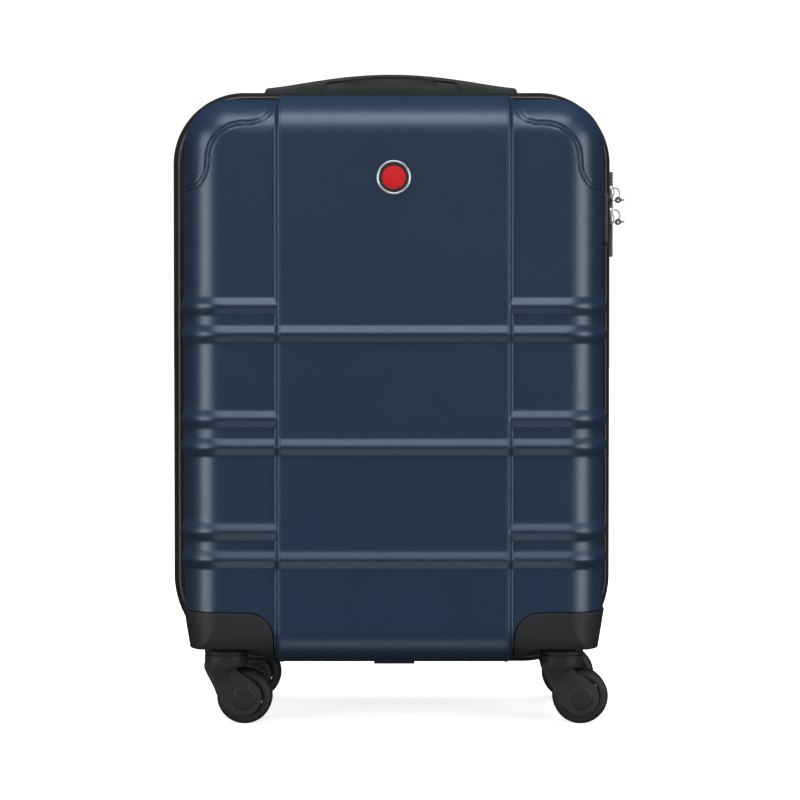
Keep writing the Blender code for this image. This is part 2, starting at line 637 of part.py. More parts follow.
def make_caster(word, side, side_x, looks, case):
    """One spinner caster: fork, axle with caps, wheel core and tyre."""
    spot = (side_x * CASTER_X, side * CASTER_Y, 0.0)
    fork = add_object(f"caster_fork_{word}", fork_mesh(), looks["plastic"], case, spot)
    for number, inner in ((1, -LEG_OUT), (2, LEG_IN)):
        leg = prism_mesh(leg_outline(), inner, inner + LEG_OUT - LEG_IN)
        boolean(fork, guide(add_object(f"leg_{word}_{number}", leg, looks["plastic"], case, spot)), "UNION")
    hub = (spot[0] + TRAIL, spot[1], WHEEL_RADIUS)
    hole = cylinder_mesh(AXLE_RADIUS + GAP, -0.020, 0.020, "Y", 12)
    boolean(fork, guide(add_object(f"axle_hole_{word}", hole, looks["plastic"], case, hub)))
    round_shading(fork)
    inner = LEG_OUT + GAP
    pin = [(CAP_RADIUS - 0.0008, -CAP_OUT), (CAP_RADIUS, -CAP_OUT + 0.0006), (CAP_RADIUS, -inner),
           (AXLE_RADIUS, -inner), (AXLE_RADIUS, inner), (CAP_RADIUS, inner),
           (CAP_RADIUS, CAP_OUT - 0.0006), (CAP_RADIUS - 0.0008, CAP_OUT)]
    axle = add_object(f"caster_axle_{word}", turned_mesh(pin, "Y", 12, ring=False), looks["plastic"], case, hub)
    bore, rim, half = AXLE_RADIUS + GAP, CORE_RADIUS, WHEEL_HALF_WIDTH - 0.0008
    core = turned_mesh([(bore, -half), (rim, -half), (rim, half), (bore, half)], "Y", 18)
    core = add_object(f"wheel_core_{word}", core, looks["plastic"], case, hub)
    seat, tread, edge = rim + GAP, WHEEL_RADIUS, WHEEL_HALF_WIDTH
    section = [(seat, -edge), (tread - 0.0040, -edge), (tread, -edge + 0.0045),
               (tread, edge - 0.0045), (tread - 0.0040, edge), (seat, edge)]
    tyre = add_object(f"wheel_tyre_{word}", turned_mesh(section, "Y", 28), looks["tyre"], case, hub)
    for piece in (axle, core, tyre):
        round_shading(piece)


# ---------------------------------------------------------------- small trim
def make_trim(looks, case):
    """The round badge on the centre panel, and the pad under the zip band."""
    face = -(FACE_Y + PANEL_HEIGHT + GAP)
    spot = (0.0, face, BADGE_Z)
    ring = [(BADGE_RADIUS - 0.0024, 0.0), (BADGE_RADIUS, 0.0), (BADGE_RADIUS, -0.0006),
            (BADGE_RADIUS - 0.0008, -0.0013), (BADGE_RADIUS - 0.0024, -0.0010)]
    ring = add_object("badge_ring", turned_mesh(ring, "Y", 32), looks["metal"], case, spot)
    disc = cylinder_mesh(BADGE_RADIUS - 0.0024 - GAP, -0.0009, 0.0, "Y", 32)
    disc = add_object("badge_disc", disc, looks["enamel"], case, spot)
    round_shading(ring)
    round_shading(disc)
    low = RIM_BOTTOM - BAND_OUT - GAP
    outline = [(0.0020, low), (0.0020, low - 0.0032), (0.0120, low - 0.0032), (0.0120, low + 0.0052),
               (0.0046, low)]
    pad = prism_mesh(outline, -0.0175, 0.0175)
    turn = Matrix.Rotation(math.pi / 2, 4, "Z")
    bmesh.ops.transform(pad, matrix=turn, verts=pad.verts)
    add_object("bottom_pad", pad, looks["rubber"], case)


def make_looks():
    return {
        "front": material("navy_front", (0.026, 0.040, 0.063), 0.38),
        "rear": material("navy_rear", (0.026, 0.040, 0.063), 0.38),
        "fabric": material("black_fabric", (0.022, 0.022, 0.024), 0.85),
        "zip": material("black_zip", (0.018, 0.018, 0.020), 0.55),
        "plastic": material("black_plastic", (0.020, 0.020, 0.021), 0.55),
        "rubber": material("black_rubber", (0.018, 0.018, 0.019), 0.70),
        "tyre": material("tyre_rubber", (0.030, 0.030, 0.031), 0.65),
        "lock": material("lock_plastic", (0.045, 0.047, 0.050), 0.45),
        "dial": material("dial_plastic", (0.060, 0.062, 0.065), 0.40),
        "metal": material("bright_metal", (0.70, 0.71, 0.73), 0.25, 1.0),
        "enamel": material("red_enamel", (0.55, 0.010, 0.014), 0.25),
        "lining": material("grey_lining", (0.090, 0.092, 0.100), 0.90),
    }


def main():
    clear_scene()
    looks = make_looks()
    case = bpy.data.objects.new("case", None)
    case.location = (CASE_X, 0.0, 0.0)
    bpy.context.scene.collection.objects.link(case)
    front = make_shell("front_shell", -1, PANEL_HEIGHT, looks["front"], case)
    rear = make_shell("rear_shell", 1, 0.0, looks["rear"], case)
    make_bands(looks, case)
    make_slider_stay(looks["rubber"], case)
    make_sliders(looks["metal"], case)
    make_lock(looks, case, front)
    make_carry_handle(looks, case, rear)
    make_trolley(looks, case, rear)
    make_inside(looks, case)
    make_trim(looks, case)
    notch_shell(front, -1, looks["front"], case)
    notch_shell(rear, 1, looks["rear"], case)
    for end, side in (("front", -1), ("rear", 1)):
        for hand, side_x in (("left", -1), ("right", 1)):
            word = f"{end}_{hand}"
            make_housing(f"caster_housing_{word}", side, side_x, looks["plastic"], case)
            make_caster(word, side, side_x, looks, case)


main()
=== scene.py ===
"""Hard shell cabin suitcase: its visible surfaces and finishes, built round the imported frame."""

import json
import math

import bmesh
import bpy
from bpy.props import FloatProperty, FloatVectorProperty, IntProperty, PointerProperty
from bpy.types import Operator, Panel, PropertyGroup
from mathutils import Matrix, Vector


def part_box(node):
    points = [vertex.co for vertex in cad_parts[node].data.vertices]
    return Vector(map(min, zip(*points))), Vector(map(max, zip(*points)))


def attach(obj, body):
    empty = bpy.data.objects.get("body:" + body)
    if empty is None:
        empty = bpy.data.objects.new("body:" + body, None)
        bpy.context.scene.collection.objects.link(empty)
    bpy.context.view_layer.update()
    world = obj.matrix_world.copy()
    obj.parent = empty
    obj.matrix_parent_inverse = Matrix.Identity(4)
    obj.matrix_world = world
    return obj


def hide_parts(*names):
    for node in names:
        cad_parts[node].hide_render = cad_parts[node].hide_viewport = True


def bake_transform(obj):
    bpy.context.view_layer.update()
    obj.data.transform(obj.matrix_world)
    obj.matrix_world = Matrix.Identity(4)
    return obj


bl_info = {
    "name": "Hard Shell Suitcase",
    "version": (1, 0, 0),
    "blender": (4, 5, 0),
    "location": "View3D > Sidebar > Suitcase",
    "description": "Builds the visible surfaces and finishes of a hard shell suitcase",
    "category": "Add Mesh",
}

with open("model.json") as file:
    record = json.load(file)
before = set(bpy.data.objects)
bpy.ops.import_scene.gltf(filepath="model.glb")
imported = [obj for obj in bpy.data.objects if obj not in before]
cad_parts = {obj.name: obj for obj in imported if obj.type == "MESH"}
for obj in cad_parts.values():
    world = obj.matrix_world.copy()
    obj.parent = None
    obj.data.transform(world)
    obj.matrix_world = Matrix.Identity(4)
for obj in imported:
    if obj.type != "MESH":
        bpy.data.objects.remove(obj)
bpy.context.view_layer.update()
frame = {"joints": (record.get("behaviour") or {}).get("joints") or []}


# ---------------------------------------------------------------- sizes taken from the frame
def middle(node):
    low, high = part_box(node)
    return (low + high) / 2


ENDS = ("front", "rear")
HANDS = ("left", "right")
SIDE = {"front": -1, "rear": 1, "left": -1, "right": 1}
SHELL_LOW, SHELL_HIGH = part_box("rear_shell")
CASE_X = (SHELL_LOW.x + SHELL_HIGH.x) / 2
RIM_Y = SHELL_LOW.y
RIM_TOP = SHELL_HIGH.z
RIM_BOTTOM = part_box("front_band")[0].z + (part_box("front_band")[1].z - RIM_TOP)
RIM_HALF = 0.1760
RIM_CORNER = 0.0425
DRAFT = 0.0025
EDGE_TOP, EDGE_BOTTOM = 0.034, 0.026
WALL = 0.0024
CORE_X = RIM_HALF - RIM_CORNER
CORE_LOW, CORE_HIGH = RIM_BOTTOM + RIM_CORNER, RIM_TOP - RIM_CORNER
PANEL_HEIGHT = 0.0034
FACE_Y = -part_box("badge_disc")[1].y - PANEL_HEIGHT - 0.0003
RIDGE_LOWEST, RIDGE_PITCH, RIDGE_SPACING, RIDGE_PAIRS = 0.1394, 0.0918, 0.0227, 3


# ---------------------------------------------------------------- settings
class ShellSettings(PropertyGroup):
    """Sizes and colour of the two moulded half shells"""

    colour: FloatVectorProperty(name="Shell colour", description="Colour of the moulded plastic",
                                default=(0.0117, 0.0239, 0.0487), size=3, min=0, max=1, subtype="COLOR")
    ridge_height: FloatProperty(name="Ridge height", description="How far a ridge stands out",
                                default=0.0034, unit="LENGTH")
    ridge_half_width: FloatProperty(name="Ridge half width", description="From a ridge's crest to its foot",
                                    default=0.0072, unit="LENGTH")
    panel_half_width: FloatProperty(name="Panel half width", description="Half width of the raised panel",
                                    default=0.0935, unit="LENGTH")
    panel_slope: FloatProperty(name="Panel slope", description="Width of the step at the panel's edge",
                               default=0.0035, unit="LENGTH")
    groove_depth: FloatProperty(name="Corner groove depth", description="Depth of the twin corner grooves",
                                default=0.0008, unit="LENGTH")


class BandSettings(PropertyGroup):
    """Sizes and colour of the zip band"""

    colour: FloatVectorProperty(name="Band colour", description="Colour of the woven band",
                                default=(0.0075, 0.0075, 0.0085), size=3, min=0, max=1, subtype="COLOR")
    piping_radius: FloatProperty(name="Piping radius", description="Radius of the piping on the band",
                                 default=0.0011, unit="LENGTH")
    tooth_pitch: FloatProperty(name="Tooth pitch", description="Distance between the zip's teeth",
                               default=0.0021, unit="LENGTH")
    stitch_pitch: FloatProperty(name="Stitch pitch", description="Distance between stitches",
                                default=0.0042, unit="LENGTH")
    rib_count: IntProperty(name="Stay ribs", description="Ribs on the strip behind the sliders",
                           default=38, min=4)


class HandleSettings(PropertyGroup):
    """Sizes of the carry handle and of the trolley handle"""

    bead: FloatProperty(name="Bead width", description="Width of the bead over the grip's pad",
                        default=0.0034, unit="LENGTH")
    pad_depth: FloatProperty(name="Pad depth", description="How far the grip's pad is set in",
                             default=0.0017, unit="LENGTH")
    colour: FloatVectorProperty(name="Handle colour", description="Colour of the soft grip",
                                default=(0.016, 0.016, 0.017), size=3, min=0, max=1, subtype="COLOR")


class CasterSettings(PropertyGroup):
    """Sizes and colours of the casters"""

    plastic: FloatVectorProperty(name="Caster plastic", description="Colour of housings and forks",
                                 default=(0.0150, 0.0158, 0.0168), size=3, min=0, max=1, subtype="COLOR")
    tyre: FloatVectorProperty(name="Tyre colour", description="Colour of the tyres",
                              default=(0.0110, 0.0112, 0.0112), size=3, min=0, max=1, subtype="COLOR")
    spokes: IntProperty(name="Spokes", description="Spokes of each wheel core", default=6, min=3)
    edge: FloatProperty(name="Edge radius", description="Radius along the moulded edges",
                        default=0.0008, unit="LENGTH")


class TrimSettings(PropertyGroup):
    """Colours of the lock, the badge and the inside"""

    enamel: FloatVectorProperty(name="Badge enamel", description="Colour of the badge's disc",
                                default=(0.48, 0.004, 0.009), size=3, min=0, max=1, subtype="COLOR")
    metal: FloatVectorProperty(name="Plated metal", description="Colour of pulls, ring and key barrel",
                               default=(0.72, 0.73, 0.75), size=3, min=0, max=1, subtype="COLOR")
    lining: FloatVectorProperty(name="Lining", description="Colour of the lining cloth",
                                default=(0.085, 0.088, 0.097), size=3, min=0, max=1, subtype="COLOR")


class StageSettings(PropertyGroup):
    """Camera, lights and floor"""

    distance: FloatProperty(name="Camera distance", description="Camera's distance from the zip's plane",
                            default=1.700, unit="LENGTH")
    height: FloatProperty(name="Camera height", description="Camera's height over the floor",
                          default=0.3029, unit="LENGTH")
    tilt: FloatProperty(name="Camera tilt", description="How far the camera looks down",
                        default=math.radians(1.195), subtype="ANGLE")
    lens: FloatProperty(name="Lens", description="Focal length", default=88.78, subtype="DISTANCE_CAMERA")
    soft_box: FloatProperty(name="Soft box power", description="Power of each soft box",
                            default=16.0, subtype="POWER")
    fill: FloatProperty(name="Fill power", description="Power of the front fill", default=19.0,
                        subtype="POWER")
    low_box: FloatProperty(name="Low box power", description="Power of the soft box under the front edge",
                           default=3.5, subtype="POWER")
    overhead: FloatProperty(name="Overhead strength", description="Strength of the light on the floor",
                            default=3.6, min=0)


# ---------------------------------------------------------------- mesh helpers
def link(name, mesh_data):
    """A new object from a bmesh, with its place in its mesh."""
    mesh = bpy.data.meshes.new(name)
    mesh_data.to_mesh(mesh)
    mesh_data.free()
    made = bpy.data.objects.new(name, mesh)
    bpy.context.scene.collection.objects.link(made)
    return made


def bake(thing):
    """Swaps a piece's mesh for its evaluated one and drops its modifiers."""
    graph = bpy.context.evaluated_depsgraph_get()
    mesh = bpy.data.meshes.new_from_object(thing.evaluated_get(graph))
    thing.modifiers.clear()
    thing.data = mesh
    return thing


def boolean(thing, tool, operation="DIFFERENCE"):
    """Cuts a piece by a tool, or joins the tool to it, and removes the tool; a bmesh can be a tool."""
    if isinstance(tool, bmesh.types.BMesh):
        tool = link("tool", tool)
    change = thing.modifiers.new("change", "BOOLEAN")
    change.operation = operation
    change.solver = "EXACT"
    change.object = tool
    bake(thing)
    bpy.data.objects.remove(tool, do_unlink=True)
    if not thing.data.vertices:
        raise RuntimeError(f"nothing is left of {thing.name}")
    return thing


def rounded(thing, width, steps=2, degrees=40):
    """Rounds a piece's sharp edges."""
    change = thing.modifiers.new("edges", "BEVEL")
    change.width = width
    change.segments = steps
    change.limit_method = "ANGLE"
    change.angle_limit = math.radians(degrees)
    change.use_clamp_overlap = True
    return bake(thing)


def finish(thing, look, body, stands_for=(), degrees=35):
    """Gives a piece its shading, finish and nodes it stands for, and its body if it has only one."""
    thing.data.shade_smooth()
    thing.data.set_sharp_from_angle(angle=math.radians(degrees))
    thing.data.materials.clear()
    thing.data.materials.append(look)
    if body:
        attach(thing, body)
    if stands_for:
        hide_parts(*stands_for)
    return thing


def merge(mesh, other, matrix=None):
    """Adds one bmesh to another, moved by a matrix."""
    if matrix is not None:
        bmesh.ops.transform(other, matrix=matrix, verts=other.verts)
        if matrix.determinant() < 0:
            bmesh.ops.reverse_faces(other, faces=other.faces)
    kept = bpy.data.meshes.new("kept")
    other.to_mesh(kept)
    other.free()
    mesh.from_mesh(kept)
    bpy.data.meshes.remove(kept)
    return mesh


def outward(mesh):
    bmesh.ops.recalc_face_normals(mesh, faces=mesh.faces)
    return mesh


def moved(mesh, place):
    """A bmesh, moved to a place."""
    return merge(bmesh.new(), mesh, Matrix.Translation(place))


def bridge(mesh, loops):
    """Faces between neighbours in a row of closed loops."""
    for near, far in zip(loops, loops[1:]):
        for step in range(len(near)):
            after = (step + 1) % len(near)
            mesh.faces.new((near[step], near[after], far[after], far[step]))


def box_mesh(low, high, radius=0.0, steps=2):
    mesh = bmesh.new()
    centre, size = (Vector(low) + Vector(high)) / 2, Vector(high) - Vector(low)
    bmesh.ops.create_cube(mesh, size=1.0, matrix=Matrix.Translation(centre) @ Matrix.Diagonal((*size, 1.0)))
    if radius:
        bmesh.ops.bevel(mesh, geom=mesh.edges[:], offset=radius, segments=steps, affect="EDGES",
                        profile=0.5)
    return mesh


def lathe_mesh(profile, steps=48, axis="Y", ring=False):
    """Turns (radius, along) points; a radius of 0 is a pole, and a ring's profile closes on itself."""
    mesh = bmesh.new()
    loops = []
    for radius, along in profile:
        if radius == 0:
            spots = [(0.0, 0.0)]
        else:
            angles = [math.tau * step / steps for step in range(steps)]
            spots = [(radius * math.cos(a), radius * math.sin(a)) for a in angles]
        place = {"Y": lambda a, b: (a, along, b), "Z": lambda a, b: (a, b, along),
                 "X": lambda a, b: (along, a, b)}[axis]
        loops.append([mesh.verts.new(place(*spot)) for spot in spots])
    for near, far in zip(loops, loops[1:] + loops[:1] if ring else loops[1:]):
        for step in range(steps):
            after = (step + 1) % steps
            corners = [near[step % len(near)], near[after % len(near)],
                       far[after % len(far)], far[step % len(far)]]
            corners = list(dict.fromkeys(corners))
            if len(corners) > 2:
                mesh.faces.new(corners)
    for loop in (loops[0], loops[-1]):
        if not ring and len(loop) > 1:
            mesh.faces.new(loop)
    return outward(mesh)


def prism_mesh(outline, low, high, axis="Y"):
    """Extrudes an outline along an axis."""
    place = {"Y": lambda a, b, c: (a, c, b), "Z": lambda a, b, c: (a, b, c),
             "X": lambda a, b, c: (c, a, b)}[axis]
    mesh = bmesh.new()
    layers = [[mesh.verts.new(place(a, b, along)) for a, b in outline] for along in (low, high)]
    mesh.faces.new(layers[0])
    mesh.faces.new(layers[1])
    bridge(mesh, layers)
    return outward(mesh)


def loft_mesh(rings, closed=False):
    """Skins rings of points, with a UV map in metres along and round them."""
    mesh = bmesh.new()
    layer = mesh.loops.layers.uv.new("UVMap")
    loops = [[mesh.verts.new(spot) for spot in ring] for ring in rings]
    count = len(rings[0])
    round_it = [0.0]
    for step in range(count):
        round_it.append(round_it[-1] + (Vector(rings[0][step]) - Vector(rings[0][(step + 1) % count])).length)
    along = [0.0]
    for near, far in zip(rings, rings[1:] + rings[:1]):
        along.append(along[-1] + (Vector(near[0]) - Vector(far[0])).length)
    pairs = list(zip(loops, loops[1:] + loops[:1] if closed else loops[1:]))
    for index, (near, far) in enumerate(pairs):
        for step in range(count):
            after = (step + 1) % count
            face = mesh.faces.new((near[step], near[after], far[after], far[step]))
            marks = ((index, step), (index, step + 1), (index + 1, step + 1), (index + 1, step))
            for corner, (a, b) in zip(face.loops, marks):
                corner[layer].uv = (along[a], round_it[b])
    if not closed:
        mesh.faces.new(loops[0])
        mesh.faces.new(loops[-1])
    return outward(mesh)


def tube_rings(points, radius, steps=10, closed=False):
    """Circles round a path that lies in a plane."""
    points = [Vector(p) for p in points]
    count = len(points)
    normal = (points[1] - points[0]).cross(points[2] - points[1])
    if normal.length < 1e-12:
        normal = (points[1] - points[0]).orthogonal()
    normal.normalize()
    rings = []
    for index, point in enumerate(points):
        before = points[index - 1] if closed or index else point
        after = points[(index + 1) % count] if closed or index < count - 1 else point
        across = (after - before).normalized().cross(normal)
        angles = [math.tau * step / steps for step in range(steps)]
        rings.append([point + radius * (math.cos(a) * across + math.sin(a) * normal) for a in angles])
    return rings


def ribbon(path, thick):
    """The closed outline of a strip that follows a path in one plane."""
    sides = ([], [])
    for step, spot in enumerate(path):
        near, far = path[max(0, step - 1)], path[min(len(path) - 1, step + 1)]
        run = math.dist(near, far)
        normal = ((near[1] - far[1]) / run, (far[0] - near[0]) / run)
        for side, points in zip((0.5, -0.5), sides):
            points.append((spot[0] + normal[0] * thick * side, spot[1] + normal[1] * thick * side))
    return sides[0] + sides[1][::-1]


def arc(centre, radius, start, end, steps):
    """Points of an arc in degrees, both ends included."""
    angles = [math.radians(start + (end - start) * step / steps) for step in range(steps + 1)]
    return [(centre[0] + radius * math.cos(a), centre[1] + radius * math.sin(a)) for a in angles]


def squarish(angle, power):
    """A point of a circle that turns into a square as the power falls from 1 to 0."""
    across, up = math.cos(angle), math.sin(angle)
    return math.copysign(abs(across) ** power, across), math.copysign(abs(up) ** power, up)


def smooth(points, steps=8):
    """A smooth curve through a few (a, b) points."""
    made = []
    last = len(points) - 1
    for index in range(last):
        p0, p1 = Vector(points[max(0, index - 1)]), Vector(points[index])
        p2, p3 = Vector(points[index + 1]), Vector(points[min(last, index + 2)])
        for step in range(steps):
            t = step / steps
            spot = 0.5 * (2 * p1 + (p2 - p0) * t + (2 * p0 - 5 * p1 + 4 * p2 - p3) * t * t
                          + (3 * p1 - p0 - 3 * p2 + p3) * t ** 3)
            made.append(tuple(spot))
    return made + [tuple(points[-1])]


def ease(value):
    value = min(1.0, max(0.0, value))
    return value * value * (3 - 2 * value)


# ---------------------------------------------------------------- Geometry Nodes
def add(tree, kind, inputs=None, **settings):
    """Adds a node; an input is a value or the socket that feeds it."""
    made = tree.nodes.new(kind)
    for key, value in settings.items():
        setattr(made, key, value)
    for key, value in (inputs or {}).items():
        if isinstance(value, bpy.types.NodeSocket):
            tree.links.new(value, made.inputs[key])
        else:
            made.inputs[key].default_value = value
    return made


def row_tree():
    """Node tree that sets small rounded blocks at even steps along a path in the XY plane."""
    tree = bpy.data.node_groups.new("Row of blocks", "GeometryNodeTree")
    face = tree.interface
    face.new_socket(name="Path", in_out="INPUT", socket_type="NodeSocketGeometry")
    for name, value in (("Pitch", 0.002), ("Length", 0.001), ("Depth", 0.002), ("Height", 0.002)):
        made = face.new_socket(name=name, in_out="INPUT", socket_type="NodeSocketFloat")
        made.default_value = value
        made.subtype = "DISTANCE"
    face.new_socket(name="Finish", in_out="INPUT", socket_type="NodeSocketMaterial")
    face.new_socket(name="Blocks", in_out="OUTPUT", socket_type="NodeSocketGeometry")
    given = tree.nodes.new("NodeGroupInput").outputs
    curve = add(tree, "GeometryNodeMeshToCurve", {"Mesh": given["Path"]})
    spots = add(tree, "GeometryNodeCurveToPoints", {"Curve": curve.outputs[0], "Length": given["Pitch"]},
                mode="LENGTH")
    turn = add(tree, "FunctionNodeAlignRotationToVector", {"Vector": spots.outputs["Tangent"]},
               axis="X", pivot_axis="Z")
    size = add(tree, "ShaderNodeCombineXYZ", {"X": given["Length"], "Y": given["Depth"],
                                              "Z": given["Height"]})
    block = add(tree, "GeometryNodeMeshCube", {"Size": size.outputs[0]})
    row = add(tree, "GeometryNodeInstanceOnPoints",
              {"Points": spots.outputs["Points"], "Instance": block.outputs["Mesh"],
               "Rotation": turn.outputs[0]})
    real = add(tree, "GeometryNodeRealizeInstances", {"Geometry": row.outputs[0]})
    look = add(tree, "GeometryNodeSetMaterial", {"Geometry": real.outputs[0], "Material": given["Finish"]})
    tree.links.new(look.outputs[0], tree.nodes.new("NodeGroupOutput").inputs["Blocks"])
    return tree


def row_of_blocks(name, path, matrix, look, pitch, size):
    """Blocks along a path of (x, y) points, moved into place by a matrix."""
    tree = bpy.data.node_groups.get("Row of blocks") or row_tree()
    mesh = bmesh.new()
    spots = [mesh.verts.new((x, y, 0.0)) for x, y in path]
    for near, far in zip(spots, spots[1:]):
        mesh.edges.new((near, far))
    row = link(name, mesh)
    nodes = row.modifiers.new("row", "NODES")
    nodes.node_group = tree
    values = {"Pitch": pitch, "Length": size[0], "Depth": size[1], "Height": size[2], "Finish": look}
    for item in tree.interface.items_tree:
        if item.in_out == "INPUT" and item.name in values:
            nodes[item.identifier] = values[item.name]
    bake(row)
    row.data.transform(matrix)
    return row


# ---------------------------------------------------------------- finishes
LOOKS = {}


def shader(name, colour, roughness, metallic=0.0, **more):
    made = bpy.data.materials.new(name)
    made.use_nodes = True
    bsdf = made.node_tree.nodes["Principled BSDF"]
    values = {"Base Color": (*colour, 1.0), "Roughness": roughness, "Metallic": metallic, **more}
    for key, value in values.items():
        bsdf.inputs[key].default_value = value
    LOOKS[name] = made
    return made.node_tree, bsdf


def mottle(tree, bsdf, colour, amount, size):
    """Slight change of colour over the surface, and lighter wear along the edges."""
    place = add(tree, "ShaderNodeTexCoord").outputs["Object"]
    cloud = add(tree, "ShaderNodeTexNoise", {"Vector": place, "Scale": 1.0 / size, "Detail": 4.0})
    span = add(tree, "ShaderNodeMapRange", {"Value": cloud.outputs["Fac"], "From Min": 0.3, "From Max": 0.7,
                                            "To Min": 1.0 - amount, "To Max": 1.0 + amount})
    edge = add(tree, "ShaderNodeNewGeometry").outputs["Pointiness"]
    worn = add(tree, "ShaderNodeMapRange", {"Value": edge, "From Min": 0.54, "From Max": 0.66,
                                            "To Min": 0.0, "To Max": 0.35})
    total = add(tree, "ShaderNodeMath", {0: span.outputs[0], 1: worn.outputs[0]}, operation="ADD")
    shade = add(tree, "ShaderNodeVectorMath", {0: colour, "Scale": total.outputs[0]}, operation="SCALE")
    tree.links.new(shade.outputs[0], bsdf.inputs["Base Color"])
    return place


def grain(tree, bsdf, place, size, depth, roughness, spread):
    """Fine moulded grain as bump, with a little change of gloss."""
    fine = add(tree, "ShaderNodeTexNoise", {"Vector": place, "Scale": 1.0 / size, "Detail": 3.0,
                                            "Roughness": 0.6})
    bump = add(tree, "ShaderNodeBump", {"Height": fine.outputs["Fac"], "Strength": 1.0, "Distance": depth})
    tree.links.new(bump.outputs[0], bsdf.inputs["Normal"])
    patch = add(tree, "ShaderNodeTexNoise", {"Vector": place, "Scale": 0.12 / size, "Detail": 5.0})
    gloss = add(tree, "ShaderNodeMapRange", {"Value": patch.outputs["Fac"], "From Min": 0.3, "From Max": 0.7,
                                             "To Min": roughness - spread, "To Max": roughness + spread})
    tree.links.new(gloss.outputs[0], bsdf.inputs["Roughness"])


def moulded(name, colour, roughness, size, depth, amount=0.06, spread=0.04, **more):
    tree, bsdf = shader(name, colour, roughness, **more)
    place = mottle(tree, bsdf, colour, amount, 0.06)
    grain(tree, bsdf, place, size, depth, roughness, spread)


def woven(name, colour, thread, depth, use_map=True):
    """Plain weave of crossing threads, on the piece's UV map in metres or on object axes."""
    tree, bsdf = shader(name, colour, 0.85, **{"Sheen Weight": 0.06, "Sheen Roughness": 0.5,
                                             "Specular IOR Level": 0.3})
    place = add(tree, "ShaderNodeTexCoord").outputs["UV" if use_map else "Object"]
    parts = add(tree, "ShaderNodeSeparateXYZ", {"Vector": place}).outputs
    first, second = (parts["X"], parts["Y" if use_map else "Z"])
    waves = []
    for along, across in ((first, second), (second, first)):
        phase = add(tree, "ShaderNodeMath", {0: along, 1: math.pi / thread}, operation="MULTIPLY")
        row = add(tree, "ShaderNodeMath", {0: across, 1: 1.0 / thread}, operation="MULTIPLY")
        odd = add(tree, "ShaderNodeMath", {0: row.outputs[0]}, operation="FLOOR")
        shift = add(tree, "ShaderNodeMath", {0: odd.outputs[0], 1: math.pi, 2: phase.outputs[0]},
                    operation="MULTIPLY_ADD")
        wave = add(tree, "ShaderNodeMath", {0: shift.outputs[0]}, operation="SINE")
        cross = add(tree, "ShaderNodeMath", {0: row.outputs[0]}, operation="PINGPONG")
        cross.inputs[1].default_value = 0.5
        hump = add(tree, "ShaderNodeMath", {0: wave.outputs[0], 1: cross.outputs[0]}, operation="MULTIPLY")
        waves.append(hump.outputs[0])
    height = add(tree, "ShaderNodeMath", {0: waves[0], 1: waves[1]}, operation="MAXIMUM")
    bump = add(tree, "ShaderNodeBump", {"Height": height.outputs[0], "Strength": 1.0, "Distance": depth})
    tree.links.new(bump.outputs[0], bsdf.inputs["Normal"])
    # The threads' colour follows their height: painted shade in the low gaps between threads and a painted
    # highlight on their crowns. The noise below adds random tone.
    span = add(tree, "ShaderNodeMapRange", {"Value": height.outputs[0], "From Min": 0.0, "From Max": 0.5,
                                            "To Min": 0.55, "To Max": 1.25})
    cloud = add(tree, "ShaderNodeTexNoise",
                {"Vector": add(tree, "ShaderNodeTexCoord").outputs["Object"], "Scale": 40.0, "Detail": 4.0})
    uneven = add(tree, "ShaderNodeMapRange", {"Value": cloud.outputs["Fac"], "To Min": 0.8, "To Max": 1.2})
    total = add(tree, "ShaderNodeMath", {0: span.outputs[0], 1: uneven.outputs[0]}, operation="MULTIPLY")
    shade = add(tree, "ShaderNodeVectorMath", {0: colour, "Scale": total.outputs[0]}, operation="SCALE")
    tree.links.new(shade.outputs[0], bsdf.inputs["Base Color"])


def metal(name, colour, roughness, stretch=(1.0, 1.0, 1.0), depth=0.00001, size=0.0006, metallic=1.0):
    """Plated or brushed metal; stretch draws the scratches out along an axis."""
    tree, bsdf = shader(name, colour, roughness, metallic)
    place = add(tree, "ShaderNodeTexCoord").outputs["Object"]
    drawn = add(tree, "ShaderNodeMapping", {"Vector": place, "Scale": stretch})
    lines = add(tree, "ShaderNodeTexNoise", {"Vector": drawn.outputs[0], "Scale": 1.0 / size, "Detail": 3.0})
    bump = add(tree, "ShaderNodeBump", {"Height": lines.outputs["Fac"], "Strength": 0.6, "Distance": depth})
    tree.links.new(bump.outputs[0], bsdf.inputs["Normal"])
    gloss = add(tree, "ShaderNodeMapRange", {"Value": lines.outputs["Fac"], "From Min": 0.3, "From Max": 0.7,
                                             "To Min": roughness * 0.8, "To Max": roughness * 1.3})
    tree.links.new(gloss.outputs[0], bsdf.inputs["Roughness"])
    cloud = add(tree, "ShaderNodeTexNoise", {"Vector": place, "Scale": 90.0, "Detail": 3.0})
    span = add(tree, "ShaderNodeMapRange", {"Value": cloud.outputs["Fac"], "To Min": 0.93, "To Max": 1.04})
    shade = add(tree, "ShaderNodeVectorMath", {0: colour, "Scale": span.outputs[0]}, operation="SCALE")
    tree.links.new(shade.outputs[0], bsdf.inputs["Base Color"])


# ---------------------------------------------------------------- the case's surface
def graded(low, high, coarse, zones):
    """Places from low to high, a coarse step apart, but finer in each (start, end, step) zone."""
    spots = [low]
    while spots[-1] < high - 1e-6:
        here = spots[-1]
        step = min([coarse] + [zone[2] for zone in zones if zone[0] - 1e-6 <= here < zone[1] - 1e-6])
        after = min([here + step, high] + [zone[0] for zone in zones if zone[0] > here + 1e-6])
        spots.append(after)
    return spots


def ridge_crests():
    low = [RIDGE_LOWEST + RIDGE_PITCH * pair for pair in range(RIDGE_PAIRS)]
    return low, [crest + RIDGE_SPACING for crest in low]


GROOVE_ARCS = (((-0.1185, 0.5125), 0.0182, -93.0, 40.0), ((-0.1210, 0.4640), 0.0304, 87.0, 181.0),
               ((-0.1725, 0.4630), 0.0211, -95.0, 1.0))
GROOVE_APART, GROOVE_HALF_WIDTH = 0.0032, 0.0013


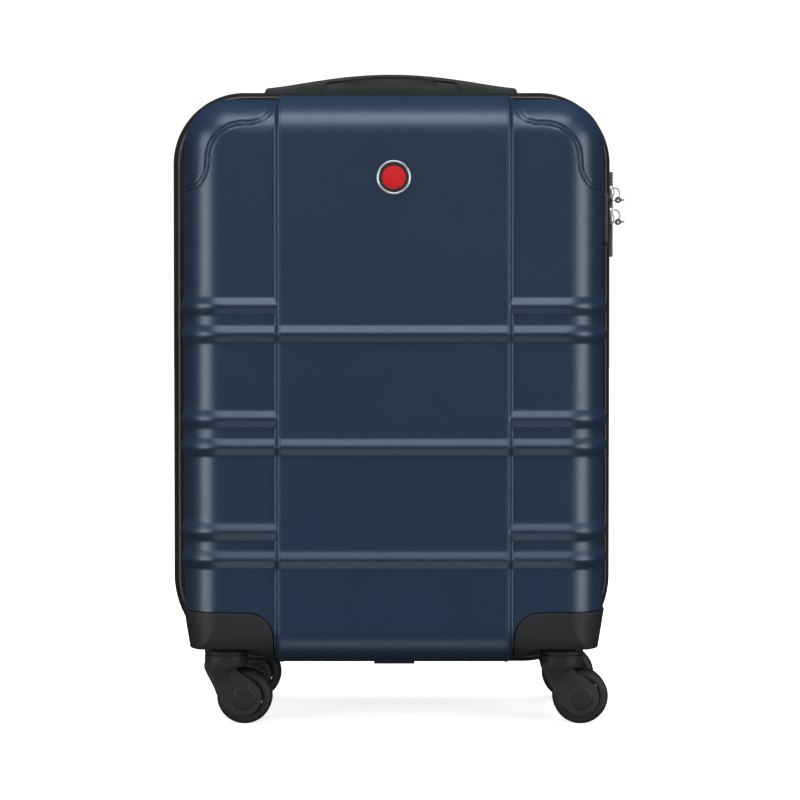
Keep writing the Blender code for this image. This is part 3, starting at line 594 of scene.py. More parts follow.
def groove(x, z):
    """Share of the full depth of the twin grooves that sweep round each top corner."""
    x = -abs(x)
    if x > -0.094 or z < 0.436:
        return 0.0
    nearest = 1.0
    for (centre_x, centre_z), radius, low, high in GROOVE_ARCS:
        angle = math.degrees(math.atan2(z - centre_z, x - centre_x))
        if angle < low:
            angle += 360
        if low <= angle <= high:
            distance = math.hypot(x - centre_x, z - centre_z) - radius
            if abs(distance) < abs(nearest):
                nearest = distance
    away = abs(abs(nearest) - GROOVE_APART / 2)
    return 0.5 + 0.5 * math.cos(math.pi * min(1.0, away / GROOVE_HALF_WIDTH))


def tent(distance, half_width, soft):
    """A ridge's section: straight slopes with a rounded crest and foot."""
    t = abs(distance) / half_width
    height = 1.0 - (math.hypot(t, soft) - soft * 0.6)
    return 0.5 * (height + math.hypot(height, soft * 0.35)) if t < 1.6 else 0.0


def relief(values, x, z, lean, panel, grooved):
    """How far the shell stands proud of its plain surface."""
    soft = 0.08 + 0.42 * math.cos(lean)
    width = values.ridge_half_width
    low, high = ridge_crests()
    lower = max(tent(z - crest, width, soft) for crest in low)
    upper = max(tent(z - crest, width, soft) for crest in high)
    slope = values.panel_slope
    raised = ease((values.panel_half_width + slope - abs(x)) / slope)
    lip = 0.00060 * math.exp(-((values.panel_half_width - 0.0006 - abs(x)) / 0.0012) ** 2) if panel else 0.0
    base = max(panel * raised + lip, values.ridge_height * upper)
    cut = groove(x, z) * values.groove_depth * ease(math.sin(lean) * 4) if grooved else 0.0
    return base + values.ridge_height * lower - cut


def stations(rows, columns, steps_high, steps_low):
    """(anchor x, anchor z, normal x, normal z) all round, anticlockwise from lower right."""
    found = [(CORE_X, z, 1.0, 0.0) for z in rows]
    found += corner(CORE_X, CORE_HIGH, 0, steps_high)
    found += [(x, CORE_HIGH, 0.0, 1.0) for x in reversed(columns)]
    found += corner(-CORE_X, CORE_HIGH, 90, steps_high)
    found += [(-CORE_X, z, -1.0, 0.0) for z in reversed(rows)]
    found += corner(-CORE_X, CORE_LOW, 180, steps_low)
    found += [(x, CORE_LOW, 0.0, -1.0) for x in columns]
    found += corner(CORE_X, CORE_LOW, 270, steps_low)
    return found


def corner(x, z, start, steps):
    angles = [math.radians(start + 90 * step / steps) for step in range(1, steps)]
    return [(x, z, math.cos(a), math.sin(a)) for a in angles]


def wall_profile(normal_z, straight, steps, inset=0.0):
    """(radius from the core, depth, lean of the normal) from the rim to the face."""
    edge = EDGE_TOP + (EDGE_BOTTOM - EDGE_TOP) * max(0.0, -normal_z)
    top = RIM_CORNER - DRAFT
    bend = FACE_Y - edge
    points = []
    for step in range(straight):
        depth = RIM_Y + (bend - RIM_Y) * step / straight
        fall = DRAFT * ease((depth - RIM_Y) / (bend - RIM_Y))
        points.append((RIM_CORNER - fall - inset, depth, 0.0))
    for step in range(steps + 1):
        lean = math.pi / 2 * step / steps
        points.append((top - edge + (edge - inset) * math.cos(lean),
                       bend + (edge - inset) * math.sin(lean), lean))
    return points


def shell_mesh(values, side, panel, grooved, fine=True, proud=0.0, closed=False):
    """One half of the case: its outer surface, and its inner one unless it is closed."""
    foot = values.ridge_half_width * 1.5
    crests = sorted(sum(ridge_crests(), []))
    zones = [(crest - foot, crest + foot, foot / 9) for crest in crests]
    zones.append((0.4380, CORE_HIGH, 0.0008))
    edge = values.panel_half_width
    across = [(-CORE_X, -edge - 0.005, 0.0013), (-edge - 0.005, -edge + 0.003, 0.0006),
              (edge - 0.003, edge + 0.005, 0.0006), (edge + 0.005, CORE_X, 0.0013)]
    rows = graded(CORE_LOW, CORE_HIGH, 0.007 if fine else 0.05, zones if fine else [])
    columns = graded(-CORE_X, CORE_X, 0.009 if fine else 0.05, across if fine else [])
    ring = stations(rows, columns, 92 if fine else 24, 20)
    steps = (8, 64) if fine else (2, 16)
    mesh = bmesh.new()

    def height(x, z, lean):
        return relief(values, x, z, lean, panel, grooved) if fine else 0.0

    grid = {}
    for x in columns:
        for z in rows:
            level = FACE_Y + height(x, z, math.pi / 2) + proud
            grid[x, z] = mesh.verts.new((x, side * level, z))
    loops = []
    for x, z, normal_x, normal_z in ring:
        column = []
        for radius, depth, lean in wall_profile(normal_z, *steps):
            spot_x, spot_z = x + radius * normal_x, z + radius * normal_z
            share = ease((depth - RIM_Y) / 0.006)
            level = height(spot_x, spot_z, lean) * share + proud
            out = math.cos(lean) * level
            column.append(mesh.verts.new((spot_x + out * normal_x, side * (depth + math.sin(lean) * level),
                                          spot_z + out * normal_z)))
        loops.append(column)
    for here, there, now, then in zip(loops, loops[1:] + loops[:1], ring, ring[1:] + ring[:1]):
        for step in range(len(here) - 1):
            mesh.faces.new((here[step], there[step], there[step + 1], here[step + 1]))
        inner = list(dict.fromkeys((grid[then[:2]], grid[now[:2]])))
        mesh.faces.new((here[-1], there[-1], *inner))
    for left, right in zip(columns, columns[1:]):
        for low, high in zip(rows, rows[1:]):
            mesh.faces.new((grid[left, low], grid[right, low], grid[right, high], grid[left, high]))
    rim = [column[0] for column in loops]
    if closed:
        mesh.faces.new(rim)
    else:
        inside_of_shell(mesh, side, ring, rim)
    bmesh.ops.translate(mesh, vec=(CASE_X, 0.0, 0.0), verts=mesh.verts)
    return outward(mesh)


def inside_of_shell(mesh, side, ring, rim):
    """The plain inner surface, a wall's thickness in, joined to the outer one at the rim."""
    layers = [rim]
    for step in range(len(wall_profile(0.0, 2, 6))):
        layer = []
        for x, z, normal_x, normal_z in ring:
            radius, depth, _ = wall_profile(normal_z, 2, 6, WALL)[step]
            layer.append(mesh.verts.new((x + radius * normal_x, side * depth, z + radius * normal_z)))
        layers.append(layer)
    bridge(mesh, layers)
    mesh.faces.new(layers[-1])


# ---------------------------------------------------------------- caster corner outline
HOUSING_LOW, HOUSING_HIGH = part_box("caster_housing_front_right")
HOUSING_IN = HOUSING_LOW.x - CASE_X
HOUSING_CORNER, HOUSING_BOTTOM, HOUSING_PROUD = 0.0210, 0.0650, 0.0012
HOUSING_SLOPE = 0.187
CLEAR = 0.0003


def housing_outline(side_x, clearance=0.0):
    """Outline, seen from the front, of the corner that a caster housing fills."""
    inner, top = HOUSING_IN - clearance, HOUSING_HIGH.z + clearance
    radius = HOUSING_CORNER + clearance
    points = arc((inner + radius, top - radius), radius, 90, 180, 14)
    if clearance:
        points += [(inner, 0.02), (0.24, 0.02)]
    else:
        lip = HOUSING_LOW.z
        points += [(inner, lip + 0.0012), (inner + 0.0012, lip), (inner + 0.0046, lip)]
        points += arc((inner + 0.0215, lip - 0.0075), 0.0170, 152, 92, 10)
        points += [(0.24, HOUSING_BOTTOM)]
    points.append((0.24, top))
    return [(CASE_X + side_x * x, z) for x, z in points]


def square_corners(mesh, slope):
    """Moves a block's round lower corners out to straight sides that slope inwards."""
    for vertex in mesh.verts:
        across, down = abs(vertex.co.x - CASE_X) - CORE_X, CORE_LOW - vertex.co.z
        if across > -1e-6 and down > 0:
            reach = math.hypot(across, down) - slope * down
            vertex.co.x = CASE_X + math.copysign(CORE_X + reach, vertex.co.x)
    return mesh


def shell_cutter(side, extra):
    """All that is cut from a shell, as separate closed bodies in one tool."""
    cutter = bmesh.new()
    reach = sorted((side * (RIM_Y - 0.004), side * (FACE_Y + 0.010)))
    for side_x in (-1, 1):
        merge(cutter, prism_mesh(housing_outline(side_x, 0.0008), *reach))
    for low, high in extra:
        merge(cutter, box_mesh(low, high))
    return link("cutter", cutter)


class SUITCASE_OT_shells(Operator):
    """Build the two half shells with their ridges, panel, corner grooves and openings"""

    bl_idname = "suitcase.shells"
    bl_label = "Half Shells"

    def execute(self, context):
        values = context.scene.suitcase_shell
        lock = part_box("lock_body")
        window = (Vector((lock[0].x - 0.002, lock[0].y + 0.0022, lock[0].z + 0.0008)),
                  Vector((lock[1].x + 0.002, lock[1].y - 0.0024, lock[1].z - 0.0006)))
        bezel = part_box("trolley_bezel")
        margin = Vector((CLEAR, CLEAR, 0.012))
        openings = {"front": [window], "rear": [(bezel[0] - margin, bezel[1] + margin)]}
        for hand in HANDS:
            centre = middle(f"handle_mount_{hand}")
            reach = Vector((0.0068, 0.0078, 0.020))
            openings["rear"].append((centre - reach, centre + reach))
        for end in ENDS:
            panel = PANEL_HEIGHT if end == "front" else 0.0
            shell = link(f"{end}_shell_skin", shell_mesh(values, SIDE[end], panel, True))
            boolean(shell, shell_cutter(SIDE[end], openings[end]))
            finish(shell, LOOKS["shell"], f"{end}_case", [f"{end}_shell"])
        return {"FINISHED"}


# ---------------------------------------------------------------- zip band
BAND_LOW, BAND_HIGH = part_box("front_band")
BAND_OUT = {1: BAND_HIGH.x - CASE_X - RIM_HALF, -1: CASE_X - BAND_LOW.x - RIM_HALF}
BAND_RISE = BAND_HIGH.z - RIM_TOP
BAND_Y = -BAND_HIGH.y
BAND_CORNERS = (0.0640, 0.0500)


def reach_out(normal_x):
    """How far the band stands out from the rim on this side of the case."""
    flat = BAND_RISE + (BAND_OUT[1 if normal_x > 0 else -1] - BAND_RISE) * abs(normal_x)
    return flat / BAND_RISE


def band_ring(steps=24):
    """The stations of the band's path, whose corners are wider than the shells'."""
    rows = graded(CORE_LOW, CORE_HIGH, 0.006, [])
    columns = graded(-CORE_X, CORE_X, 0.006, [])
    path = []
    for x, z, normal_x, normal_z in stations(rows, columns, steps, steps):
        high = z > (CORE_LOW + CORE_HIGH) / 2
        anchor = CORE_HIGH if high else CORE_LOW
        wider = BAND_CORNERS[high] - RIM_CORNER
        across, down = CORE_X - abs(x), abs(anchor - z)
        if across < 1e-9 and down < 1e-9:
            x = math.copysign(CORE_X - wider, x) + wider * normal_x
            z = anchor + wider * (normal_z + (-1 if high else 1))
            path.append((x, z, normal_x, normal_z))
        elif max(across, down) >= wider:
            path.append((x, z, normal_x, normal_z))
    return path


def swept(section, side, ring, closed=True):
    """Rings of a section of (out, y) points round the case."""
    rings = []
    for x, z, normal_x, normal_z in ring:
        stretch = reach_out(normal_x)
        points = []
        for out, y in section:
            radius = RIM_CORNER + (out * stretch if out > 0 else out)
            points.append((CASE_X + x + radius * normal_x, side * y, z + radius * normal_z))
        rings.append(points)
    return loft_mesh(rings, closed)


def path_at(out, ring):
    """(x, height) places of a line that runs round the case."""
    places = []
    for x, z, normal_x, normal_z in ring:
        radius = RIM_CORNER + out * reach_out(normal_x)
        places.append((CASE_X + x + radius * normal_x, z + radius * normal_z))
    return places


def zip_run(ring):
    """The stretch of the ring that the zip follows: bottom, right side and top."""
    hinge_side = [number for number, station in enumerate(ring) if station[2] == -1.0]
    return ring[hinge_side[-1]:] + ring[:hinge_side[0] + 1]


def upright(y):
    """Turns a path in the XY plane upright, at a depth."""
    return Matrix.Translation((0.0, y, 0.0)) @ Matrix.Rotation(math.pi / 2, 4, "X")


class SUITCASE_OT_bands(Operator):
    """Build the woven bands, their piping and stitches, and the zip's tape and teeth"""

    bl_idname = "suitcase.bands"
    bl_label = "Zip Bands"

    def execute(self, context):
        values = context.scene.suitcase_band
        ring = band_ring()
        out = BAND_RISE
        for end in ENDS:
            side, body = SIDE[end], f"{end}_case"
            front = smooth([(0.0002, RIM_Y - 0.0004), (0.0030, RIM_Y - 0.0008), (out * 0.60, RIM_Y - 0.0036),
                            (out * 0.90, BAND_Y + 0.0030), (out, BAND_Y + 0.0011)], 3)
            back = smooth([(out, BAND_Y), (out - 0.0020, BAND_Y), (out * 0.5, RIM_Y - 0.0048),
                           (-WALL * 0.8, RIM_Y - 0.0032)], 3)
            section = front + back + [(-WALL * 0.8, RIM_Y - 0.0006)]
            band = link(f"{end}_band_cloth", swept(section, side, ring))
            finish(band, LOOKS["weave"], body, [f"{end}_band"], 50)
            self.add_piping(end, side, ring, values)
            self.add_stitches(end, side, ring, values)
            self.add_zip(end, side, zip_run(ring), values)
        return {"FINISHED"}

    def add_piping(self, end, side, ring, values):
        radius = values.piping_radius
        centre = (BAND_RISE * 0.56, RIM_Y - 0.0026)
        section = arc(centre, radius, 0, 330, 11)
        piping = link(f"{end}_band_piping", swept(section, side, ring))
        finish(piping, LOOKS["piping"], f"{end}_case")

    def add_stitches(self, end, side, ring, values):
        for word, out, y in (("inner", 0.0026, RIM_Y - 0.0004), ("outer", BAND_RISE * 0.80, RIM_Y - 0.0054)):
            row = row_of_blocks(f"{end}_band_stitches_{word}", path_at(out, ring), upright(side * y),
                                LOOKS["thread"], values.stitch_pitch, (0.0026, 0.0006, 0.0008))
            finish(row, LOOKS["thread"], f"{end}_case")

    def add_zip(self, end, side, run, values):
        low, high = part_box(f"{end}_zip")
        depth = high.y - low.y
        inner, outer = 0.0060, 0.0087
        tape = swept([(inner, 0.0012), (outer - 0.0009, 0.0012), (outer - 0.0009, depth), (inner, depth)],
                     side, run, False)
        tape = link(f"{end}_zip_tape", tape)
        finish(tape, LOOKS["weave"], f"{end}_case", [f"{end}_zip"])
        teeth = row_of_blocks(f"{end}_zip_teeth", path_at(outer - 0.0010, run), upright(side * 0.0008),
                              LOOKS["teeth"], values.tooth_pitch, (0.0012, 0.0020, 0.0012))
        finish(teeth, LOOKS["teeth"], f"{end}_case")


# ---------------------------------------------------------------- hinge cloth and slider stay
class SUITCASE_OT_hinge(Operator):
    """Build the hinge cloth and the ribbed strip behind the sliders"""

    bl_idname = "suitcase.hinge"
    bl_label = "Hinge Cloth and Slider Stay"

    def execute(self, context):
        low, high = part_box("hinge_tape")
        face = CASE_X - RIM_HALF
        half_path = [(0.0106, 0.0), (0.0105, 0.0016), (0.0098, 0.0028), (0.0084, 0.0033), (0.0070, 0.0044),
                     (0.0044, 0.0062), (0.0010, 0.0074)]
        path = [(out, -y) for out, y in reversed(half_path[1:])] + half_path
        path = smooth([(face - out * reach_out(-1.0), y) for out, y in path], 4)
        rings = []
        for step in range(161):
            z = low.z + (high.z - low.z) * step / 160
            pucker = 0.00015 * math.sin(step * 0.85)
            rings.append([(x + pucker, y, z) for x, y in ribbon(path, 0.0006)])
        cloth = link("hinge_cloth", loft_mesh(rings))
        finish(cloth, LOOKS["weave"], None, ["hinge_tape"], 50)
        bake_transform(cloth)
        self.add_stay(context.scene.suitcase_band)
        return {"FINISHED"}

    def add_stay(self, values):
        low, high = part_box("slider_stay")
        foot = high.x - 0.0040
        outline = [(foot, 0.0042), (foot + 0.0026, 0.0044), (foot + 0.0030, 0.0064), (foot + 0.0022, 0.0084),
                   (low.x, high.y), (low.x, high.y - 0.0016), (foot, 0.0056)]
        base = rounded(link("slider_stay_strip", prism_mesh(outline, low.z, high.z, "Z")), 0.0004)
        finish(base, LOOKS["stay"], "rear_case", ["slider_stay"])
        pitch = (high.z - low.z) / values.rib_count
        path = [(foot + 0.0020, low.z + pitch / 2), (foot + 0.0020, high.z - pitch / 2)]
        ribs = row_of_blocks("slider_stay_ribs", path, upright(0.0064), LOOKS["stay"], pitch,
                             (pitch * 0.55, 0.0038, 0.0044))
        finish(rounded(ribs, 0.0002, 1), LOOKS["stay"], "rear_case")


# ---------------------------------------------------------------- zip sliders
def ellipsoid_mesh(centre, size, steps=32, rows=16):
    """A closed egg shape with poles along Z."""
    angles = [math.pi * row / rows for row in range(rows + 1)]
    profile = [(0.0 if row in (0, rows) else math.sin(a), -math.cos(a)) for row, a in enumerate(angles)]
    mesh = lathe_mesh(profile, steps, "Z")
    matrix = Matrix.Translation(centre) @ Matrix.Diagonal((*size, 1.0))
    bmesh.ops.transform(mesh, matrix=matrix, verts=mesh.verts)
    return mesh


class SUITCASE_OT_sliders(Operator):
    """Build the two zip sliders with their wire loops, and their pull tabs"""

    bl_idname = "suitcase.sliders"
    bl_label = "Zip Sliders"

    def execute(self, context):
        joints = {joint["name"]: joint for joint in frame["joints"]}
        for word in ("upper", "lower"):
            pivot = Vector(joints[f"zip_pull_{word}_swing"]["pos_m"])
            self.add_slider(word, pivot)
            self.add_pull(word, pivot)
        return {"FINISHED"}

    def add_slider(self, word, pivot):
        low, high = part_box(f"zip_slider_{word}")
        centre = Vector((low.x, 0.0, high.z - 0.0056))
        half_y = high.y
        plate = [(-0.0024, -0.0056), (0.0024, -0.0056), (half_y, -0.0020), (half_y, 0.0030), (0.0016, 0.0056),
                 (-0.0016, 0.0056), (-half_y, 0.0030), (-half_y, -0.0020)]
        plate = [(centre.y + a, centre.z + b) for a, b in plate]
        body = rounded(link(f"zip_slider_body_{word}", prism_mesh(plate, centre.x, centre.x + 0.0022, "X")),
                       0.0006, 3)
        drop = Vector((0.0, 0.0, -0.0001 if word == "upper" else -0.0042))
        crown = ellipsoid_mesh(centre + drop + Vector((0.0018, -0.0006, 0.0)), (0.0026, 0.0030, 0.0050))
        boolean(body, crown, "UNION")
        finish(body, LOOKS["bright_metal"], f"slider_{word}", [f"zip_slider_{word}"])
        top = centre + Vector((0.0040, 0.0, 0.0038))
        reach = pivot.x - top.x + 0.0015
        spots = []
        for step in range(25):
            angle = math.pi * step / 24
            along = pivot.z - 0.0002 + (top.z - pivot.z) * (0.5 + 0.5 * math.cos(angle))
            spots.append((top.x + reach * abs(math.sin(angle)) ** 0.8, 0.0, along))
        loop = link(f"zip_slider_loop_{word}", loft_mesh(tube_rings(spots, 0.00075, 12)))
        finish(loop, LOOKS["bright_metal"], f"slider_{word}")

    def add_pull(self, word, pivot):
        tip = 0.0056
        eye = lathe_mesh([(0.0011, -0.0023), (0.0024, -0.0023), (0.0027, -0.0018), (0.0027, 0.0018),
                          (0.0024, 0.0023), (0.0011, 0.0023)], 28, "Y", ring=True)
        pull = link(f"zip_pull_tab_{word}", moved(eye, pivot))
        rings = []
        for step in range(13):
            share = step / 12
            x = pivot.x + 0.0014 + (tip - 0.0014) * share
            tall = 0.0015 * (1 - share) ** 0.8 + 0.00035
            wide = 0.0023 - 0.0009 * share
            pinch = 1.0 - 0.35 * math.exp(-((share - 0.62) / 0.10) ** 2)
            angles = [math.tau * turn / 16 for turn in range(16)]
            rings.append([(x, wide * math.cos(a), pivot.z + tall * pinch * math.sin(a)) for a in angles])
        boolean(pull, loft_mesh(rings), "UNION")
        notch = box_mesh(pivot - Vector((0.0040, 0.0011, 0.0040)), pivot + Vector((0.0046, 0.0011, 0.0040)))
        boolean(pull, notch)
        finish(pull, LOOKS["pull_metal"], f"pull_{word}", [f"zip_pull_{word}"])


# ---------------------------------------------------------------- lock
def rounded_outline(centre, half_size, radius, steps=6):
    """A rectangle with round corners; a pair of radii is for the low and the high corners."""
    low, high = radius if isinstance(radius, tuple) else (radius, radius)
    points = []
    for quarter, (a, b) in enumerate(((1, 1), (-1, 1), (-1, -1), (1, -1))):
        radius = high if b > 0 else low
        spot = (centre[0] + a * (half_size[0] - radius), centre[1] + b * (half_size[1] - radius))
        points += arc(spot, radius, quarter * 90, quarter * 90 + 90, steps)
    return points


def box_outline(low, high, axes, radius, inset=0.0):
    """A box's outline on two of its axes, with round corners."""
    centre = (low + high) / 2
    spot = [getattr(centre, axis) for axis in axes]
    size = [getattr(high, axis) - getattr(centre, axis) - inset for axis in axes]
    return rounded_outline(spot, size, radius)


class SUITCASE_OT_lock(Operator):
    """Build the combination lock: plate, dials with numbers, button and key barrel"""

    bl_idname = "suitcase.lock"
    bl_label = "Combination Lock"

    def execute(self, context):
        low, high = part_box("lock_body")
        plate_x = high.x - 0.0032
        outline = box_outline(low, high, "yz", 0.0040)
        body = rounded(link("lock_plate", prism_mesh(outline, plate_x, high.x, "X")), 0.0009, 3)
        block = box_mesh((low.x, low.y + 0.0025, low.z + 0.0011), (plate_x + 0.001, high.y - 0.0027,
                                                                  high.z - 0.0009))
        boolean(body, block, "UNION")
        tools = bmesh.new()
        for number in (1, 2, 3):
            dial_low, dial_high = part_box(f"lock_dial_{number}")
            room = Vector((0.0, 0.0005, CLEAR))
            merge(tools, box_mesh(dial_low - room - Vector((0.0006, 0, 0)), dial_high + room
                                  + Vector((0.004, 0, 0))))
        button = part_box("lock_button")
        room = Vector((0.0026, CLEAR, CLEAR))
        merge(tools, box_mesh(button[0] - room, button[1] + room))
        key = middle("key_cylinder")
        bore = lathe_mesh([(0.0041, low.x + 0.004), (0.0041, high.x + 0.004)], 40, "X")
        merge(tools, bore, Matrix.Translation((0.0, key.y, key.z)))
        boolean(body, tools)
        finish(body, LOOKS["lock_plastic"], "front_case", ["lock_body"])
        for number in (1, 2, 3):
            self.add_dial(number)
        self.add_button(button)
        self.add_key(key)
        return {"FINISHED"}

    def add_dial(self, number):
        low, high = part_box(f"lock_dial_{number}")
        centre, radius = (low + high) / 2, (high.y - low.y) / 2
        flats = 10
        outline = []
        for step in range(flats):
            angle = math.tau * step / flats
            swing = math.pi / flats
            for share in (-0.86, -0.6, 0.0, 0.6, 0.86):
                spread = math.cos(swing * 0.86) / math.cos(swing * share * 0.9)
                here = radius * min(1.0, spread * 1.01) - (0.0004 if abs(share) > 0.8 else 0.0)
                outline.append((centre.x + here * math.cos(angle + swing * share),
                                centre.y + here * math.sin(angle + swing * share)))
        dial = rounded(link(f"lock_dial_wheel_{number}", prism_mesh(outline, low.z, high.z, "Z")), 0.0004)
        finish(dial, LOOKS["dial_plastic"], f"dial_{number}", [f"lock_dial_{number}"], 25)
        digits = bmesh.new()
        for digit in range(flats):
            curve = bpy.data.curves.new("digit", "FONT")
            curve.body = str(digit)
            curve.size = 0.0046
            curve.extrude = 0.00012
            curve.align_x = curve.align_y = "CENTER"
            text = bpy.data.objects.new("digit", curve)
            bpy.context.scene.collection.objects.link(text)
            graph = bpy.context.evaluated_depsgraph_get()
            flat = bpy.data.meshes.new_from_object(text.evaluated_get(graph))
            turn = Matrix.Rotation(math.tau * digit / flats, 4, "Z")
            upright_text = Matrix.Rotation(math.pi / 2, 4, "Z") @ Matrix.Rotation(math.pi / 2, 4, "X")
            out = Matrix.Translation((radius * math.cos(math.pi / flats * 0.86) + 0.00006, 0.0, 0.0))
            flat.transform(Matrix.Translation(centre) @ turn @ out @ upright_text)
            digits.from_mesh(flat)
            bpy.data.objects.remove(text, do_unlink=True)
        bmesh.ops.remove_doubles(digits, verts=digits.verts, dist=1e-7)
        digits = link(f"lock_dial_numbers_{number}", digits)
        finish(digits, LOOKS["numbers"], f"dial_{number}")

    def add_button(self, button):
        low, high = button
        centre = (low + high) / 2
        outline = box_outline(low, high, "yz", 0.0016)
        knob = rounded(link("lock_release_button", prism_mesh(outline, low.x, high.x, "X")), 0.0006, 3)
        groove = box_mesh((high.x - 0.0003, low.y + 0.002, centre.z - 0.0003),
                          (high.x + 0.001, high.y - 0.002, centre.z + 0.0003))
        boolean(knob, groove)
        finish(knob, LOOKS["dial_plastic"], "lock_release", ["lock_button"])

    def add_key(self, key):
        low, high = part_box("key_cylinder")
        radius = (high.y - low.y) / 2
        profile = [(0.0, low.x), (radius, low.x), (radius, high.x - 0.0007), (radius - 0.0005, high.x),
                   (radius - 0.0012, high.x), (radius - 0.0014, high.x - 0.0004), (0.0, high.x - 0.0004)]
        barrel = link("key_barrel_face", moved(lathe_mesh(profile, 48, "X"), (0.0, key.y, key.z)))
        slit = box_mesh((high.x - 0.004, key.y - 0.0005, key.z - 0.0022),
                        (high.x + 0.001, key.y + 0.0005, key.z + 0.0022))
        boolean(barrel, slit)
        finish(barrel, LOOKS["bright_metal"], "key_barrel", ["key_cylinder"])


# ---------------------------------------------------------------- badge and bottom pad
class SUITCASE_OT_badge(Operator):
    """Build the plain round badge: a plated ring round a domed enamel disc, and the pad under the band"""

    bl_idname = "suitcase.badge"
    bl_label = "Badge and Bottom Pad"

    def execute(self, context):
        low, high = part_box("badge_ring")
        centre = Vector(((low.x + high.x) / 2, high.y, (low.z + high.z) / 2))
        radius, tall = (high.x - low.x) / 2, high.y - low.y
        bead = arc((radius - 0.0010, -0.0004), 0.0009, 180, 360, 10)
        profile = [(radius - 0.0001, 0.0)] + [(r, -tall + 0.0013 + y) for r, y in reversed(bead)]
        ring = lathe_mesh(profile + [(radius - 0.0019, 0.0)], 96, "Y", ring=True)
        ring = link("badge_rim", moved(ring, centre))
        finish(ring, LOOKS["bright_metal"], "front_case", ["badge_ring"])
        outer = radius - 0.0022
        bed = [(0.0, 0.0), (outer, 0.0), (outer, -0.0005), (outer - 0.0022, -0.0005),
               (outer - 0.0022, -0.0003), (0.0, -0.0003)]
        bed = link("badge_bed", moved(lathe_mesh(bed, 96), centre))
        finish(bed, LOOKS["black_plastic"], "front_case")
        inner = outer - 0.0024
        dome = [(0.0, -0.0004), (inner, -0.0004), (inner, -0.0006)]
        dome += [(inner * (1 - step / 6), -0.0006 - 0.0005 * math.sin(math.pi / 2 * step / 6) ** 0.8)
                 for step in range(1, 6)] + [(0.0, -0.0011)]
        disc = link("badge_enamel", moved(lathe_mesh(dome, 96), centre))
        finish(disc, LOOKS["enamel"], "front_case", ["badge_disc"])
        self.add_pad()
        return {"FINISHED"}

    def add_pad(self):
        low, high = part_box("bottom_pad")
        edge = high.z - 0.0052
        outline = [(low.y, edge), (low.y, low.z), (high.y, low.z), (high.y, high.z), (low.y + 0.0026, edge)]
        piece = rounded(link("bottom_pad_rubber", prism_mesh(outline, low.x, high.x, "X")), 0.0006)
        for number in range(5):
            x = low.x + (high.x - low.x) * (number + 1) / 6
            boolean(piece, box_mesh((x - 0.0007, low.y + 0.0016, low.z - 0.001),
                                    (x + 0.0007, high.y + 0.001, low.z + 0.0007)))
        finish(piece, LOOKS["soft_grip"], "rear_case", ["bottom_pad"])


# ---------------------------------------------------------------- carry handle
HANDLE_ENDS, HANDLE_RISE, HANDLE_HALF, HANDLE_AT = 0.5380, 0.0120, 0.1100, CASE_X - 0.0028
LUG_X = 0.0980
GRIP_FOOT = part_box("handle_mount_left")[1].z + CLEAR
GRIP_UNDER = 0.5295


def handle_top(x):
    return HANDLE_ENDS + HANDLE_RISE * max(0.0, 1.0 - (x / HANDLE_HALF) ** 2) ** 1.5


class SUITCASE_OT_carry_handle(Operator):
    """Build the arched carry handle with its bead and pad, and the mounts it slides in"""

    bl_idname = "suitcase.carry_handle"
    bl_label = "Carry Handle"

    def execute(self, context):
        values = context.scene.suitcase_handle
        low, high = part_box("carry_grip")
        centre_y, half_y = (low.y + high.y) / 2, (high.y - low.y) / 2
        places = graded(-HANDLE_HALF + 0.0002, HANDLE_HALF - 0.0002, 0.0022,
                        [(-HANDLE_HALF, -0.102, 0.0006), (-0.068, -0.050, 0.0009), (0.048, 0.066, 0.0009),
                         (0.102, HANDLE_HALF, 0.0006)])
        rings = [self.section(x, centre_y, half_y, values) for x in places]
        grip = link("carry_grip_arch", loft_mesh(rings))
        for side_x in (-1, 1):
            x = CASE_X + side_x * LUG_X
            lug = box_mesh((x - 0.0065, centre_y - 0.0075, low.z),
                           (x + 0.0065, centre_y + 0.0075, GRIP_FOOT + 0.003), 0.0008)
            boolean(grip, lug, "UNION")
        finish(grip, LOOKS["soft_grip"], "carry_handle", ["carry_grip"], 50)
        for hand in HANDS:
            self.add_mount(hand, centre_y)
        return {"FINISHED"}

    def section(self, x, centre_y, half_y, values):
        """One ring of the grip: round above, flat below, with the pad set into both faces."""
        tip = min(1.0, (HANDLE_HALF - abs(x)) / 0.0036)
        round_tip = math.sqrt(max(0.0, 1 - (1 - tip) ** 2))
        top = GRIP_FOOT + 0.004 + (handle_top(x) - GRIP_FOOT - 0.004) * (0.25 + 0.75 * round_tip)
        bottom = GRIP_FOOT if abs(x) > 0.084 else GRIP_UNDER - (GRIP_UNDER - GRIP_FOOT) * ease(
            (abs(x) - 0.078) / 0.006)
        wide = half_y * (0.35 + 0.65 * round_tip)
        points = []
        count = 40
        for step in range(count):
            across, up = squarish(math.tau * step / count, 0.42)
            z = (top + bottom) / 2 + (top - bottom) / 2 * up
            inset = self.pad(x, z, top, values) if abs(across) > 0.8 else 0.0
            points.append((HANDLE_AT + x, centre_y + across * (wide - inset), z))
        return points

    def pad(self, x, z, top, values):
        """Depth of the pad's recess at a point of the grip's face."""
        down = top - z - values.bead
        along = 0.0560 + down * 0.55 - abs(x)
        inside = min(down, along)
        return values.pad_depth * ease(inside / 0.0008) - 0.0007 * ease((inside - 0.0012) / 0.0022)

    def add_mount(self, hand, centre_y):
        low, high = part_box(f"handle_mount_{hand}")
        centre = (low + high) / 2
        outline = box_outline(low, high, "xy", 0.0050)
        block = link(f"handle_mount_block_{hand}", prism_mesh(outline, low.z, high.z, "Z"))
        mount = rounded(block, 0.0012, 3)
        hole = box_mesh((centre.x - 0.0068, centre_y - 0.0078, low.z - 0.01),
                        (centre.x + 0.0068, centre_y + 0.0078, high.z + 0.01))
        boolean(mount, hole)
        finish(mount, LOOKS["black_plastic"], "rear_case", [f"handle_mount_{hand}"])


